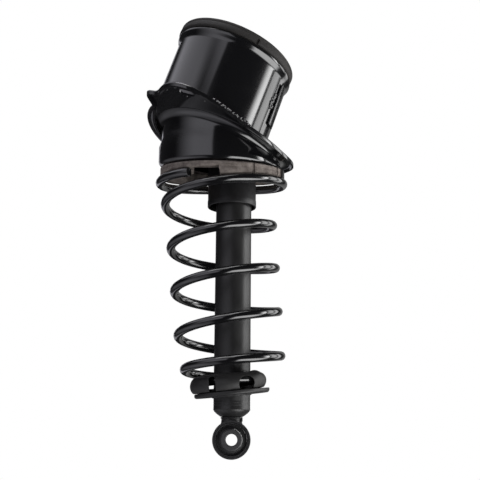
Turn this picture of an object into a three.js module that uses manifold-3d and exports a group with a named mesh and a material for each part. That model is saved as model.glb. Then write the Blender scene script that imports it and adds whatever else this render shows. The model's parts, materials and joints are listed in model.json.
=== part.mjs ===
// Rear suspension strut assembly: twin-tube damper, coil spring, tilted upper housing and lower eye bush.
// Millimetres. Origin: centre of the lower eye bore. +Z up along the damper, +Y along the bore, +X right.
import * as THREE from "three";
import { mergeVertices } from "three/addons/utils/BufferGeometryUtils.js";
import Module from "manifold-3d";

const wasm = await Module();
wasm.setup();

// ---------------------------------------------------------------------------------------------
// Driving dimensions
// ---------------------------------------------------------------------------------------------
const GAP = 0.3; // left between faces that touch
const FINE = 36; // segments round a large turned piece
const MEDIUM = 24;
const COARSE = 12;

// Lower eye and its bush
const BOLT_HOLE_R = 7.1;
const SLEEVE_R = 13;
const SLEEVE_LENGTH = 38;
const RUBBER_R = 18.4;
const RUBBER_LENGTH = 31;
const BUSH_SHELL_R = 20.3;
const EYE_R = 23;
const EYE_WIDTH = 32;
const NECK_R = 14;

// Damper
const TUBE_R = 22.5;
const TUBE_WALL = 1.8;
const TUBE_BOTTOM = 36;
const TUBE_TOP = 304;
const BASE_DOME = 8.5; // depth of the rounded base cap
const PRESSURE_TUBE_R = 16.5;
const PRESSURE_TUBE_WALL = 1.3;
const ROD_R = 6.5;
const ROD_THREAD_R = 5;
const GUIDE_HEIGHT = 14;
const PISTON_HEIGHT = 12;
const REBOUND_STOP_HEIGHT = 10;
const VALVE_DISC = 1.2;
const VALVE_LIFT = 1.5;
const PISTON_NUT_FLATS = 13;
const PISTON_NUT_HEIGHT = 5;
const CAP_WALL = 1.5;
const CAP_HEIGHT = 13;
const CAP_LAP = 7; // how far it comes down the tube

// Lower spring seat
const SEAT_R = 46;
const SEAT_Z = 56;
const SEAT_TILT = -6; // degrees, high on the right
const SEAT_WALL = 3;
const LOWER_PAD_R = 49;
const LOWER_PAD_X = -2.5;
const PAD_GAP = 1.2; // between the faceted wire and the rubber that carries it
const PAD_RELIEF = 15; // degrees of low pad past the wire's end

// Coil spring
const WIRE_R = 5.6;
const WIRE_SIDES = 6;
const STEPS_PER_TURN = 18;
// Stations down the wire: angle (degrees seen from above, falling), height, centre x and mean radius.
const SPRING_STATIONS = [
  [241, 317, -16, 79],
  [180, 321, -16, 79],
  [90, 335, -16, 79],
  [0, 321, -16, 79],
  [-90, 305.5, -16, 77],
  [-180, 290.8, -16, 71.5],
  [-360, 266.9, -16.1, 66],
  [-540, 234.6, -13.5, 65],
  [-720, 212.3, -11, 64],
  [-900, 179.5, -9, 64],
  [-1080, 155.9, -6.9, 64.2],
  [-1260, 124.1, -4.5, 63.4],
  [-1440, 102.4, -2, 62],
  [-1620, 83, -2.5, 56],
  [-1710, 77.5, -3, 46],
  [-1800, 74.5, -2, 38],
  [-1950, 68, 0, 36.5],
];

// Lower cup of the housing: a vertical wall with a floor that dips to the front
const CUP_CENTRE = [-17.6, 0, 343];
const CUP_TILT = [1, 8]; // degrees: low on the right, low at the front
const CUP_R = 77.5;
const CUP_CORNER = 7;
const SHEET = 2.5; // pressed steel thickness of cup, brim and canister
const CUP_FLARE = 6;

// Oblique brim between cup and canister
const BRIM_CENTRE = [-17, 0, 366];
const BRIM_TILT = [22.5, -11.4];
const BRIM_OVER_FLOOR = 7; // least height of the brim over the cup's floor
const BRIM_BLEND = 14; // softness of that change of slope
const BRIM_GAP = 1; // between the brim's facets and what meets it
const BRIM_LIP = 6.5;
const BRIM_SEGMENTS = 52;
const BRIM_HOLE_R = 47;
// The brim's outline in plan, as angle and reach beyond the cup's wall: an ear at the front left and two
// bolt lugs at the back.
const BRIM_OUTLINE = [
  [-2, 15.5],
  [22, 18.5],
  [41, 29.5],
  [55, 43.5],
  [66, 36.5],
  [81, 17.5],
  [108, 16],
  [123, 38],
  [133, 40.5],
  [143.5, 23.5],
  [167, 11],
  [189, 11.5],
  [207.5, 18],
  [216, 35.5],
  [223, 43.5],
  [233, 44.5],
  [243, 49.5],
  [254.5, 46],
  [270.5, 30.5],
  [292, 17],
  [313, 18],
  [337.5, 16.5],
];
const SLOT_PLACE = [249.5, 36];
const SLOT_LENGTH = 19;
const SLOT_WIDTH = 9;
const SLOT_TURN = 12; // degrees
const BRIM_BOLT_R = 5.2;
const BRIM_BOLTS = [
  [56, 28.5],
  [130.5, 26],
];

// Canister
const CAN_TOP = [2.6, 0, 499.5]; // centre of the rim's top face
const CAN_TILT = [18.5, -4];
const RIM_TILT = [22, -4];
const CAN_R = 76;
const SEAL_OVERHANG = 4; // outside the canister
const SEAL_LAP = 2; // inside the canister
const SEAL_HEIGHT = 13;
const SEAL_COVER = 3; // rubber over the canister's edge
const STRAP = { width: 13, thickness: 2.5, top: -34, bottom: -92, turn: -14 };

// Upper mount, on the damper axis inside the canister
const MOUNT_DROP = 1; // of the mount plate below the lowest point of the rim seal
const MOUNT_PLATE = 3;
const MOUNT_HOLE_R = 30;
const MOUNT_RUBBER_R = 37;
const MOUNT_RUBBER_HALF = 9;
const WASHER_R = 24;
const WASHER = 2.5;
const NUT_FLATS = 19;
const NUT_HEIGHT = 10;
const BUMP_STOP_R = 21;
const BUMP_STOP_LENGTH = 56;

// Dust tube round the rod
const DUST_TUBE_ROOM = 4.5; // between the damper's cap and the dust tube
const DUST_TUBE_WALL = 2.2;
const DUST_TUBE_X = -2.5;
const DUST_TUBE_BOTTOM = 290;
const DUST_TUBE_CLEARANCE = 1;

// Upper rubber pad between cup and spring
const UPPER_PAD_OVERHANG = 1.5; // beyond the cup's wall
const UPPER_PAD_INNER_R = 50;
const UPPER_PAD_STEP = 262; // degrees, where the pad steps down past the wire's end

// ---------------------------------------------------------------------------------------------
// Helpers
// ---------------------------------------------------------------------------------------------
const radians = THREE.MathUtils.degToRad;

/** A plane that falls to the right and to the front by two angles, with a frame of its own. */
class TiltedPlane {
  constructor(centre, [fallRight, fallFront]) {
    this.centre = new THREE.Vector3(...centre);
    const right = radians(fallRight);
    const front = radians(fallFront);
    this.normal = new THREE.Vector3(
      Math.sin(right) * Math.cos(front),
      -Math.sin(front),
      Math.cos(right) * Math.cos(front),
    ).normalize();
  }
  heightAt(x, y) {
    const { centre, normal } = this;
    return centre.z - (normal.x * (x - centre.x) + normal.y * (y - centre.y)) / normal.z;
  }
  /** Matrix whose Z is the normal, whose Y leans back and whose X lies in the plane. */
  matrix() {
    const across = new THREE.Vector3(0, 1, 0).cross(this.normal).normalize();
    const back = this.normal.clone().cross(across);
    return new THREE.Matrix4().makeBasis(across, back, this.normal).setPosition(this.centre);
  }
}

/** A closed geometry as a manifold solid. */
function solid(geometry) {
  const bare = new THREE.BufferGeometry();
  bare.setAttribute("position", geometry.getAttribute("position"));
  bare.setIndex(geometry.index);
  const merged = mergeVertices(bare, 1e-4);
  return new wasm.Manifold(
    new wasm.Mesh({
      numProp: 3,
      vertProperties: new Float32Array(merged.attributes.position.array),
      triVerts: new Uint32Array(merged.index.array),
    }),
  );
}

/** A manifold solid as a geometry. */
function geometryOf(shape) {
  const { numProp, vertProperties, triVerts } = shape.getMesh();
  const points = [];
  for (let i = 0; i < vertProperties.length; i += numProp) {
    points.push(...vertProperties.subarray(i, i + 3));
  }
  const geometry = new THREE.BufferGeometry();
  geometry.setAttribute("position", new THREE.Float32BufferAttribute(points, 3));
  geometry.setIndex(Array.from(triVerts));
  geometry.computeVertexNormals();
  return geometry;
}

/** A piece turned about +Z from a profile of [radius, height] pairs, listed with the outside going up. */
function turned(profile, segments = MEDIUM) {
  const points = profile.map(([r, z]) => new THREE.Vector2(r, z));
  if (profile[0][0] > 0 || profile.at(-1)[0] > 0) points.push(points[0].clone());
  return new THREE.LatheGeometry(points, segments).rotateX(Math.PI / 2);
}

/** A plain tube about +Z. */
function tube(outer, inner, bottom, top, segments = MEDIUM) {
  return turned([[inner, bottom], [outer, bottom], [outer, top], [inner, top]], segments);
}

/** A plain round bar about +Z. */
function bar(radius, bottom, top, segments = MEDIUM) {
  return turned([[0, bottom], [radius, bottom], [radius, top], [0, top]], segments);
}

/** Moves every vertex of a geometry with place(vector). */
function reshaped(geometry, place) {
  const position = geometry.getAttribute("position");
  const vertex = new THREE.Vector3();
  for (let i = 0; i < position.count; i++) {
    vertex.fromBufferAttribute(position, i);
    place(vertex);
    position.setXYZ(i, vertex.x, vertex.y, vertex.z);
  }
  return geometry;
}

const cut = (geometry, ...tools) =>
  geometryOf(tools.reduce((rest, tool) => rest.subtract(solid(tool)), solid(geometry)));
const joined = (geometry, ...others) =>
  geometryOf(others.reduce((sum, other) => sum.add(solid(other)), solid(geometry)));
const common = (a, b) => geometryOf(solid(a).intersect(solid(b)));

function material(color, roughness, metalness) {
  return new THREE.MeshStandardMaterial({ color, roughness, metalness });
}
const GLOSS_BLACK = material(0x0b0b0d, 0.18, 0.1);
const SATIN_BLACK = material(0x151516, 0.45, 0.1);
const RUBBER = material(0x141414, 0.8, 0);
const CHALKY_RUBBER = material(0x5d5551, 0.9, 0);
const SEAL_RUBBER = material(0x1c1a19, 0.7, 0);
const STEEL = material(0x6a6a6c, 0.4, 0.9);
const CHROME = material(0xc8c8cc, 0.12, 1);
const POLYMER = material(0xd0cdb8, 0.6, 0);

const strut = new THREE.Group();
function add(name, geometry, finish, parent = strut) {
  const mesh = new THREE.Mesh(geometry, finish);
  mesh.name = name;
  parent.add(mesh);
  return mesh;
}

// ---------------------------------------------------------------------------------------------
// Surfaces that several pieces share
// ---------------------------------------------------------------------------------------------
const cupFloor = new TiltedPlane(CUP_CENTRE, CUP_TILT);
const brimPlane = new TiltedPlane(BRIM_CENTRE, BRIM_TILT);
const canTop = new TiltedPlane(CAN_TOP, CAN_TILT);
const rimTop = new TiltedPlane(CAN_TOP, RIM_TILT);

/** Height of the brim's top face: the oblique plane, held above the cup's floor on the low side. */
function brimHeight(x, y) {
  const oblique = brimPlane.heightAt(x, y);
  const lowest = cupFloor.heightAt(x, y) + BRIM_OVER_FLOOR;
  return (oblique + lowest + Math.hypot(oblique - lowest, BRIM_BLEND)) / 2;
}

const sealFoot = CAN_R * Math.tan(radians(RIM_TILT[0])) + SEAL_HEIGHT / Math.cos(radians(RIM_TILT[0]));
const mountZ = CAN_TOP[2] - sealFoot - MOUNT_DROP - MOUNT_PLATE;

/** A place in plan from an angle and a reach beyond the cup's wall, measured from the brim's centre. */
function aroundCup([degrees, reach]) {
  const radius = CUP_R + reach;
  return new THREE.Vector3(radius * Math.cos(radians(degrees)), radius * Math.sin(radians(degrees)), 0);
}

const brimCurve = new THREE.CatmullRomCurve3(BRIM_OUTLINE.map(aroundCup), true, "catmullrom", 0.5);
const brimRim = brimCurve
  .getPoints(360)
  .slice(0, -1)
  .map((p) => ({ angle: (Math.atan2(p.y, p.x) + 2 * Math.PI) % (2 * Math.PI), radius: p.length() }))
  .sort((a, b) => a.angle - b.angle);

/** Distance from the brim's centre to its edge in a direction, seen from above. */
function brimRadius(angle) {
  const turn = (angle + 4 * Math.PI) % (2 * Math.PI);
  const after = brimRim.findIndex((p) => p.angle > turn);
  const high = brimRim[after < 0 ? 0 : after];
  const low = brimRim[(after < 0 ? brimRim.length : after || brimRim.length) - 1];
  const span = (high.angle - low.angle + 2 * Math.PI) % (2 * Math.PI);
  const part = ((turn - low.angle + 2 * Math.PI) % (2 * Math.PI)) / span;
  return low.radius + part * (high.radius - low.radius);
}

/** The wire's height, centre and radius at an unrolled angle, smooth through the stations. */
function springAt(angle) {
  const last = SPRING_STATIONS.length - 1;
  let i = SPRING_STATIONS.findIndex((s) => s[0] <= angle);
  i = THREE.MathUtils.clamp(i < 0 ? last : i, 1, last);
  const [p0, p1, p2, p3] = [-2, -1, 0, 1].map(
    (k) => SPRING_STATIONS[THREE.MathUtils.clamp(i + k, 0, last)],
  );
  const t = (angle - p1[0]) / (p2[0] - p1[0]);
  const slope = (a, b, k) => (b[0] === a[0] ? 0 : (b[k] - a[k]) / (b[0] - a[0]));
  return [1, 2, 3].map((k) => {
    const width = p2[0] - p1[0];
    const m1 = slope(p0, p2, k) * width;
    const m2 = slope(p1, p3, k) * width;
    const t2 = t * t;
    const t3 = t2 * t;
    return (
      (2 * t3 - 3 * t2 + 1) * p1[k] + (t3 - 2 * t2 + t) * m1 + (3 * t2 - 2 * t3) * p2[k] + (t3 - t2) * m2
    );
  });
}

class SpringWire extends THREE.Curve {
  getPoint(t, target = new THREE.Vector3()) {
    const first = SPRING_STATIONS[0][0];
    const angle = first + t * (SPRING_STATIONS.at(-1)[0] - first);
    const [z, x, r] = springAt(angle);
    return target.set(x + r * Math.cos(radians(angle)), r * Math.sin(radians(angle)), z);
  }
}

const dustTubeR = TUBE_R + GAP + CAP_WALL + DUST_TUBE_ROOM + DUST_TUBE_WALL;

/** Outer shape of the dust tube with its clearance, as a tool that opens a way for it. */
const dustTubeWay = () =>
  bar(dustTubeR + DUST_TUBE_CLEARANCE, DUST_TUBE_BOTTOM - 20, mountZ - 20, MEDIUM).translate(
    DUST_TUBE_X,
    0,
    0,
  );

// ---------------------------------------------------------------------------------------------
// Lower eye and bush, turned about Z and laid along Y
// ---------------------------------------------------------------------------------------------
const alongY = (geometry) => geometry.rotateX(Math.PI / 2);
const across = (outer, inner, length, segments = MEDIUM) =>
  alongY(tube(outer, inner, -length / 2, length / 2, segments));

function makeEye() {
  const baseBottom = TUBE_BOTTOM - BASE_DOME;
  const neck = bar(NECK_R, 0, baseBottom - GAP, COARSE);
  const ring = alongY(bar(EYE_R, -EYE_WIDTH / 2, EYE_WIDTH / 2, MEDIUM));
  const bore = alongY(bar(BUSH_SHELL_R + GAP, -EYE_WIDTH, EYE_WIDTH, MEDIUM));
  add("eye_ring", cut(joined(ring, neck), bore), GLOSS_BLACK);
  add("bush_shell", across(BUSH_SHELL_R, RUBBER_R + GAP, EYE_WIDTH), STEEL);
  const halfRubber = RUBBER_LENGTH / 2;
  const waist = halfRubber - 3;
  const rubberProfile = [
    [SLEEVE_R + GAP, -halfRubber],
    [SLEEVE_R + 2.4, -halfRubber],
    [SLEEVE_R + 3.4, -waist],
    [RUBBER_R, -halfRubber + 1],
    [RUBBER_R, halfRubber - 1],
    [SLEEVE_R + 3.4, waist],
    [SLEEVE_R + 2.4, halfRubber],
    [SLEEVE_R + GAP, halfRubber],
  ];
  add("bush_rubber", alongY(turned(rubberProfile)), RUBBER);
  add("bush_sleeve", across(SLEEVE_R, BOLT_HOLE_R, SLEEVE_LENGTH), STEEL);
}

// ---------------------------------------------------------------------------------------------
// Damper
// ---------------------------------------------------------------------------------------------
const capR = TUBE_R + GAP + CAP_WALL;
const guideTop = TUBE_TOP - 4;
const guideBottom = guideTop - GUIDE_HEIGHT;
const reboundTop = guideBottom - 2;
const pistonTop = reboundTop - REBOUND_STOP_HEIGHT - 1;
const pistonBottom = pistonTop - PISTON_HEIGHT;
const mountBottom = mountZ - MOUNT_RUBBER_HALF;
const mountTop = mountZ + MOUNT_PLATE + MOUNT_RUBBER_HALF;
const nutBottom = mountTop + WASHER + 2 * GAP;
const valveBottom = TUBE_BOTTOM + 3;
const valveTop = valveBottom + 10;

function makeDamperBody() {
  const baseBottom = TUBE_BOTTOM - BASE_DOME;
  const dome = [
    [0, baseBottom],
    [NECK_R + 1, baseBottom],
    [TUBE_R - 3, baseBottom + 2],
    [TUBE_R - 0.6, baseBottom + 5],
    [TUBE_R, TUBE_BOTTOM - GAP],
    [0, TUBE_BOTTOM - GAP],
  ];
  add("base_cap", turned(dome), SATIN_BLACK);
  add("damper_tube", tube(TUBE_R, TUBE_R - TUBE_WALL, TUBE_BOTTOM, TUBE_TOP, MEDIUM), SATIN_BLACK);
  add(
    "pressure_tube",
    tube(PRESSURE_TUBE_R, PRESSURE_TUBE_R - PRESSURE_TUBE_WALL, valveTop + GAP, guideBottom - GAP, COARSE),
    STEEL,
  );
  const valveBore = TUBE_R - TUBE_WALL - GAP;
  const seatStep = PRESSURE_TUBE_R - PRESSURE_TUBE_WALL - GAP;
  add(
    "base_valve",
    turned([[3, valveBottom], [valveBore, valveBottom], [valveBore, valveTop], [3, valveTop]], COARSE),
    STEEL,
  );
  add("intake_disc", tube(seatStep - 2, 4, valveTop + GAP, valveTop + GAP + VALVE_DISC, COARSE), STEEL);
  const guideProfile = [
    [ROD_R + 0.1, guideBottom],
    [valveBore, guideBottom],
    [valveBore, guideTop],
    [ROD_R + 5, guideTop],
    [ROD_R + 5, guideTop - 4],
    [ROD_R + 0.1, guideTop - 4],
  ];
  add("rod_guide", turned(guideProfile, COARSE), STEEL);
  add("rod_seal", tube(ROD_R + 4.6, ROD_R + 0.2, guideTop - 4 + GAP, TUBE_TOP - GAP, COARSE), RUBBER);
  const capBottom = TUBE_TOP - CAP_LAP;
  const capTop = capBottom + CAP_HEIGHT;
  const capProfile = [
    [TUBE_R + GAP, capBottom],
    [capR, capBottom],
    [capR, capTop - 2],
    [capR - 2, capTop],
    [ROD_R + 1.2, capTop],
    [ROD_R + 1.2, TUBE_TOP + 2],
    [TUBE_R + GAP, TUBE_TOP + 2],
  ];
  add("tube_cap", turned(capProfile), SATIN_BLACK);
}

function makeRodGroup() {
  const rodTop = nutBottom + NUT_HEIGHT + 5;
  const rodBottom = pistonBottom - VALVE_DISC - VALVE_LIFT - PISTON_NUT_HEIGHT - 2;
  const rodProfile = [
    [0, rodBottom],
    [ROD_THREAD_R, rodBottom],
    [ROD_THREAD_R, pistonTop + GAP],
    [ROD_R, pistonTop + GAP],
    [ROD_R, mountBottom - WASHER - 2 * GAP],
    [ROD_THREAD_R, mountBottom - WASHER - 2 * GAP],
    [ROD_THREAD_R, rodTop],
    [0, rodTop],
  ];
  add("piston_rod", turned(rodProfile, COARSE), CHROME);
  const bore = PRESSURE_TUBE_R - PRESSURE_TUBE_WALL;
  const bandWidth = 6;
  const pistonMiddle = (pistonTop + pistonBottom) / 2;
  const pistonProfile = [
    [ROD_THREAD_R + GAP, pistonBottom],
    [bore - 0.6, pistonBottom],
    [bore - 0.6, pistonMiddle - bandWidth / 2],
    [bore - 1.8, pistonMiddle - bandWidth / 2],
    [bore - 1.8, pistonMiddle + bandWidth / 2],
    [bore - 0.6, pistonMiddle + bandWidth / 2],
    [bore - 0.6, pistonTop],
    [ROD_THREAD_R + GAP, pistonTop],
  ];
  add("piston", turned(pistonProfile, COARSE), STEEL);
  const band = tube(
    bore - 0.1,
    bore - 1.8 + GAP,
    pistonMiddle - bandWidth / 2 + GAP,
    pistonMiddle + bandWidth / 2 - GAP,
    COARSE,
  );
  add("piston_band", band, POLYMER);
  const discTop = pistonBottom - GAP;
  const discBottom = discTop - VALVE_DISC;
  add("piston_valve_disc", tube(bore - 3, ROD_THREAD_R + GAP, discBottom, discTop, COARSE), STEEL);
  const nutTop = discBottom - VALVE_LIFT - GAP;
  add("piston_nut", hexNut(PISTON_NUT_FLATS, nutTop - PISTON_NUT_HEIGHT, nutTop), STEEL);
  const stopBottom = pistonTop + 1;
  const stopTop = stopBottom + REBOUND_STOP_HEIGHT;
  add("rebound_stop", tube(bore - 2, ROD_R + GAP, stopBottom, stopTop, COARSE), POLYMER);
}

function hexNut(flats, bottom, top) {
  const ring = new THREE.CylinderGeometry(flats / Math.sqrt(3), flats / Math.sqrt(3), top - bottom, 6);
  ring.rotateX(Math.PI / 2).translate(0, 0, (top + bottom) / 2);
  return cut(ring, bar(ROD_THREAD_R + GAP, bottom - 5, top + 5, COARSE));
}

// ---------------------------------------------------------------------------------------------
// Spring, its seat and its rubber pads
// ---------------------------------------------------------------------------------------------
function makeSpring() {
  const section = new THREE.Shape(
    Array.from({ length: WIRE_SIDES }, (_, i) => {
      const turn = (2 * Math.PI * i) / WIRE_SIDES;
      return new THREE.Vector2(WIRE_R * Math.cos(turn), WIRE_R * Math.sin(turn));
    }),
  );
  const turns = (SPRING_STATIONS[0][0] - SPRING_STATIONS.at(-1)[0]) / 360;
  const wire = new THREE.ExtrudeGeometry(section, {
    steps: Math.round(turns * STEPS_PER_TURN),
    extrudePath: new SpringWire(),
    bevelEnabled: false,
  });
  add("coil_spring", wire, GLOSS_BLACK);
}

const seatPlane = new TiltedPlane([0, 0, SEAT_Z], [SEAT_TILT, 0]);

function makeLowerSeat() {
  const collar = TUBE_R + GAP;
  const dish = [
    [collar, -2],
    [collar + 4, -SEAT_WALL],
    [SEAT_R - 3, -SEAT_WALL],
    [SEAT_R, 0],
    [SEAT_R, 2.5],
    [SEAT_R - 1.5, 2.5],
    [SEAT_R - 4, 0],
    [collar + SEAT_WALL, 0],
    [collar + SEAT_WALL, 7],
    [collar, 7],
  ];
  const seat = turned(dish, FINE);
  reshaped(seat, (v) => (v.z += seatPlane.heightAt(v.x, v.y)));
  add("spring_seat", seat, SATIN_BLACK);

  const inner = collar + SEAT_WALL + GAP - LOWER_PAD_X;
  const ring = tube(LOWER_PAD_R, inner, 0, 1, FINE);
  reshaped(ring, (v) => {
    v.x += LOWER_PAD_X;
    const base = seatPlane.heightAt(v.x, v.y) + 3;
    v.z = v.z < 0.5 ? base : Math.max(base + 2, lowerPadTop(v.x, v.y));
  });
  add("lower_pad", ring, RUBBER);
}

/** Top of the lower pad: just under the wire's last turn, and level past its end. */
function lowerPadTop(x, y) {
  const last = SPRING_STATIONS.at(-1)[0];
  const angle = THREE.MathUtils.radToDeg(Math.atan2(y, x));
  const turn = THREE.MathUtils.euclideanModulo(angle - last + PAD_RELIEF, 360) - PAD_RELIEF;
  return springAt(THREE.MathUtils.clamp(last + turn, last, last + 270))[0] - WIRE_R - PAD_GAP;
}

function makeUpperPad() {
  const ring = tube(CUP_R + UPPER_PAD_OVERHANG, UPPER_PAD_INNER_R, 0, 1, FINE);
  reshaped(ring, (v) => {
    const angle = THREE.MathUtils.radToDeg(Math.atan2(v.y, v.x));
    v.x += SPRING_STATIONS[0][2];
    if (v.z > 0.5) {
      v.z = cupFloor.heightAt(v.x, v.y) - SHEET - GAP;
      return;
    }
    const turn = THREE.MathUtils.euclideanModulo(angle - UPPER_PAD_STEP, 360) + UPPER_PAD_STEP - 360;
    v.z = springAt(Math.min(turn, SPRING_STATIONS[0][0]))[0] + WIRE_R + PAD_GAP;
  });
  add("upper_pad", cut(ring, dustTubeWay()), CHALKY_RUBBER);
}

// ---------------------------------------------------------------------------------------------
// Upper housing
// ---------------------------------------------------------------------------------------------
function makeCup() {
  // Wall and floor in one pressing: heights over 50 hang from the brim,
  // and heights under 50 stand on the floor.
  const hang = 100;
  const under = hang - SHEET - BRIM_GAP;
  const profile = [
    [20, -SHEET],
    [CUP_R - CUP_CORNER, -SHEET],
    [CUP_R - CUP_CORNER * 0.3, -SHEET + CUP_CORNER * 0.3],
    [CUP_R, CUP_CORNER - SHEET],
    [CUP_R, under - CUP_FLARE],
    [CUP_R + CUP_FLARE * 0.3, under - CUP_FLARE * 0.3],
    [CUP_R + CUP_FLARE, under],
    [CUP_R - SHEET, under],
    [CUP_R - SHEET, CUP_CORNER],
    [CUP_R - CUP_CORNER, 0],
    [20, 0],
  ];
  const cup = turned(profile, FINE);
  reshaped(cup, (v) => {
    v.x += CUP_CENTRE[0];
    const floor = cupFloor.heightAt(v.x, v.y);
    const top = brimHeight(v.x, v.y);
    if (v.z > hang / 2) v.z = Math.max(top + v.z - hang, floor + 1);
    else v.z = Math.min(floor + v.z, Math.max(top - SHEET - BRIM_GAP - 1, floor - SHEET + v.z / 50));
  });
  add("lower_cup", cut(cup, dustTubeWay()), GLOSS_BLACK);
}

function makeBrim() {
  const edge = 100;
  const fold = edge - SHEET;
  const steps = [0.3, 0.55, 0.8].map((share) => BRIM_HOLE_R + share * (edge - BRIM_HOLE_R));
  const profile = [
    [BRIM_HOLE_R, -SHEET],
    ...steps.map((r) => [r, -SHEET]),
    [fold - 2, -SHEET],
    [fold, -SHEET - 2],
    [fold, -BRIM_LIP],
    [edge, -BRIM_LIP],
    [edge, -2.5],
    [edge - 2.5, 0],
    ...steps.toReversed().map((r) => [r, 0]),
    [BRIM_HOLE_R, 0],
  ];
  const brim = turned(profile, BRIM_SEGMENTS);
  reshaped(brim, (v) => {
    const angle = Math.atan2(v.y, v.x);
    const share = (Math.hypot(v.x, v.y) - BRIM_HOLE_R) / (edge - BRIM_HOLE_R);
    const radius = BRIM_HOLE_R + share * (brimRadius(angle) - BRIM_HOLE_R);
    v.x = BRIM_CENTRE[0] + radius * Math.cos(angle);
    v.y = BRIM_CENTRE[1] + radius * Math.sin(angle);
    v.z += brimHeight(v.x, v.y);
  });
  const high = 200;
  const slot = new THREE.Shape();
  const half = (SLOT_LENGTH - SLOT_WIDTH) / 2;
  slot.absarc(half, 0, SLOT_WIDTH / 2, -Math.PI / 2, Math.PI / 2);
  slot.absarc(-half, 0, SLOT_WIDTH / 2, Math.PI / 2, 1.5 * Math.PI);
  const slotTool = new THREE.ExtrudeGeometry(slot, { depth: high, bevelEnabled: false, curveSegments: 8 });
  const slotPlace = aroundCup(SLOT_PLACE);
  slotTool.rotateZ(-radians(SLOT_TURN)).translate(BRIM_CENTRE[0] + slotPlace.x, slotPlace.y, CUP_CENTRE[2]);
  const bolts = BRIM_BOLTS.map((place) => {
    const { x, y } = aroundCup(place);
    return bar(BRIM_BOLT_R, -50, high, COARSE).translate(BRIM_CENTRE[0] + x, y, CUP_CENTRE[2]);
  });
  add("brim_plate", cut(brim, slotTool, ...bolts, dustTubeWay()), GLOSS_BLACK);
}

/** Everything at and under the brim's top face, as a tool that trims what stands on it. */
function belowBrim() {
  const reach = 170;
  const rings = [40, 80, 120, reach];
  const block = turned([[0, -200], [reach, -200], ...rings.toReversed().map((r) => [r, 0]), [0, 0]], FINE);
  return reshaped(block, (v) => {
    v.x += BRIM_CENTRE[0];
    v.z += brimHeight(v.x, v.y) + BRIM_GAP;
  });
}

function makeCanister() {
  const length = 190;
  const wall = tube(CAN_R, CAN_R - SHEET, -length, 30, FINE).applyMatrix4(canTop.matrix());
  const over = bar(150, -SEAL_COVER, 100, 8).applyMatrix4(rimTop.matrix());
  add("canister", cut(wall, over, belowBrim(), dustTubeWay()), GLOSS_BLACK);

  const slot = tube(CAN_R + GAP, CAN_R - SHEET - GAP, -60, 30, FINE).applyMatrix4(canTop.matrix());
  const overSlot = bar(150, -SEAL_COVER + GAP, 100, 8).applyMatrix4(rimTop.matrix());
  const sealR = CAN_R + SEAL_OVERHANG;
  const sealInner = CAN_R - SHEET - SEAL_LAP;
  const sealProfile = [
    [sealInner, -SEAL_HEIGHT + 3],
    [sealInner + 1.5, -SEAL_HEIGHT],
    [sealR - 2.5, -SEAL_HEIGHT],
    [sealR, -SEAL_HEIGHT + 2.5],
    [sealR, -3],
    [sealR - 1, 0],
    [sealInner, 0],
  ];
  const ring = turned(sealProfile, FINE).applyMatrix4(rimTop.matrix());
  const groove = cut(slot, overSlot);
  add("rim_seal", cut(ring, groove), SEAL_RUBBER);

  const strap = new THREE.BoxGeometry(STRAP.thickness, STRAP.width, STRAP.top - STRAP.bottom);
  strap.translate(CAN_R + STRAP.thickness / 2 + GAP, 0, (STRAP.top + STRAP.bottom) / 2);
  strap.rotateZ(radians(STRAP.turn)).applyMatrix4(canTop.matrix());
  add("strap", cut(strap, belowBrim()), GLOSS_BLACK);
}

function makeUpperMount() {
  const inside = bar(CAN_R - SHEET - GAP, -180, 30, FINE).applyMatrix4(canTop.matrix());
  const plate = tube(150, MOUNT_HOLE_R, mountZ, mountZ + MOUNT_PLATE, FINE);
  add("mount_plate", common(plate, inside), GLOSS_BLACK);

  const neck = MOUNT_HOLE_R - GAP;
  const under = mountZ - GAP;
  const over = mountZ + MOUNT_PLATE + GAP;
  const bore = ROD_THREAD_R + GAP;
  const rubberProfile = [
    [bore, mountBottom],
    [MOUNT_RUBBER_R - 3, mountBottom],
    [MOUNT_RUBBER_R, mountBottom + 3],
    [MOUNT_RUBBER_R, under],
    [neck, under],
    [neck, over],
    [MOUNT_RUBBER_R, over],
    [MOUNT_RUBBER_R, mountTop - 3],
    [MOUNT_RUBBER_R - 3, mountTop],
    [bore, mountTop],
  ];
  add("mount_rubber", turned(rubberProfile), RUBBER);
  add("upper_washer", tube(WASHER_R, bore, mountTop + GAP, mountTop + GAP + WASHER, COARSE), STEEL);
  const lowerTop = mountBottom - GAP;
  add("lower_washer", tube(dustTubeR + 2, bore, lowerTop - WASHER, lowerTop, MEDIUM), STEEL);
  add("rod_nut", hexNut(NUT_FLATS, nutBottom, nutBottom + NUT_HEIGHT), STEEL);

  const stopTop = lowerTop - WASHER - GAP;
  const stopInner = ROD_R + GAP;
  const lobes = 3;
  const lobe = BUMP_STOP_LENGTH / lobes;
  const outside = [[BUMP_STOP_R - 8, 0]];
  for (let i = 0; i < lobes; i++) {
    const shrink = (lobes - 1 - i) * 1.5;
    outside.push([BUMP_STOP_R - shrink, (i + 0.5) * lobe]);
    outside.push([BUMP_STOP_R - shrink - 4, (i + 1) * lobe]);
  }
  const stopProfile = [[stopInner, 0], ...outside, [stopInner, BUMP_STOP_LENGTH]];
  add("bump_stop", turned(stopProfile).translate(0, 0, stopTop - BUMP_STOP_LENGTH), POLYMER);

  const dustTop = stopTop;
  const dust = tube(dustTubeR, dustTubeR - DUST_TUBE_WALL, DUST_TUBE_BOTTOM, dustTop, MEDIUM);
  add("dust_tube", dust.translate(DUST_TUBE_X, 0, 0), SATIN_BLACK);
}

makeEye();
makeDamperBody();
makeRodGroup();
makeLowerSeat();
makeSpring();
makeUpperPad();
makeCup();
makeBrim();
makeCanister();
makeUpperMount();

export default strut;
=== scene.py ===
"""A rear strut assembly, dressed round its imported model: damper, coil spring, lower eye, housing."""

import json
import logging
import math
import random
from collections.abc import Callable, Iterable, Sequence
from dataclasses import dataclass
from enum import Enum

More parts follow.
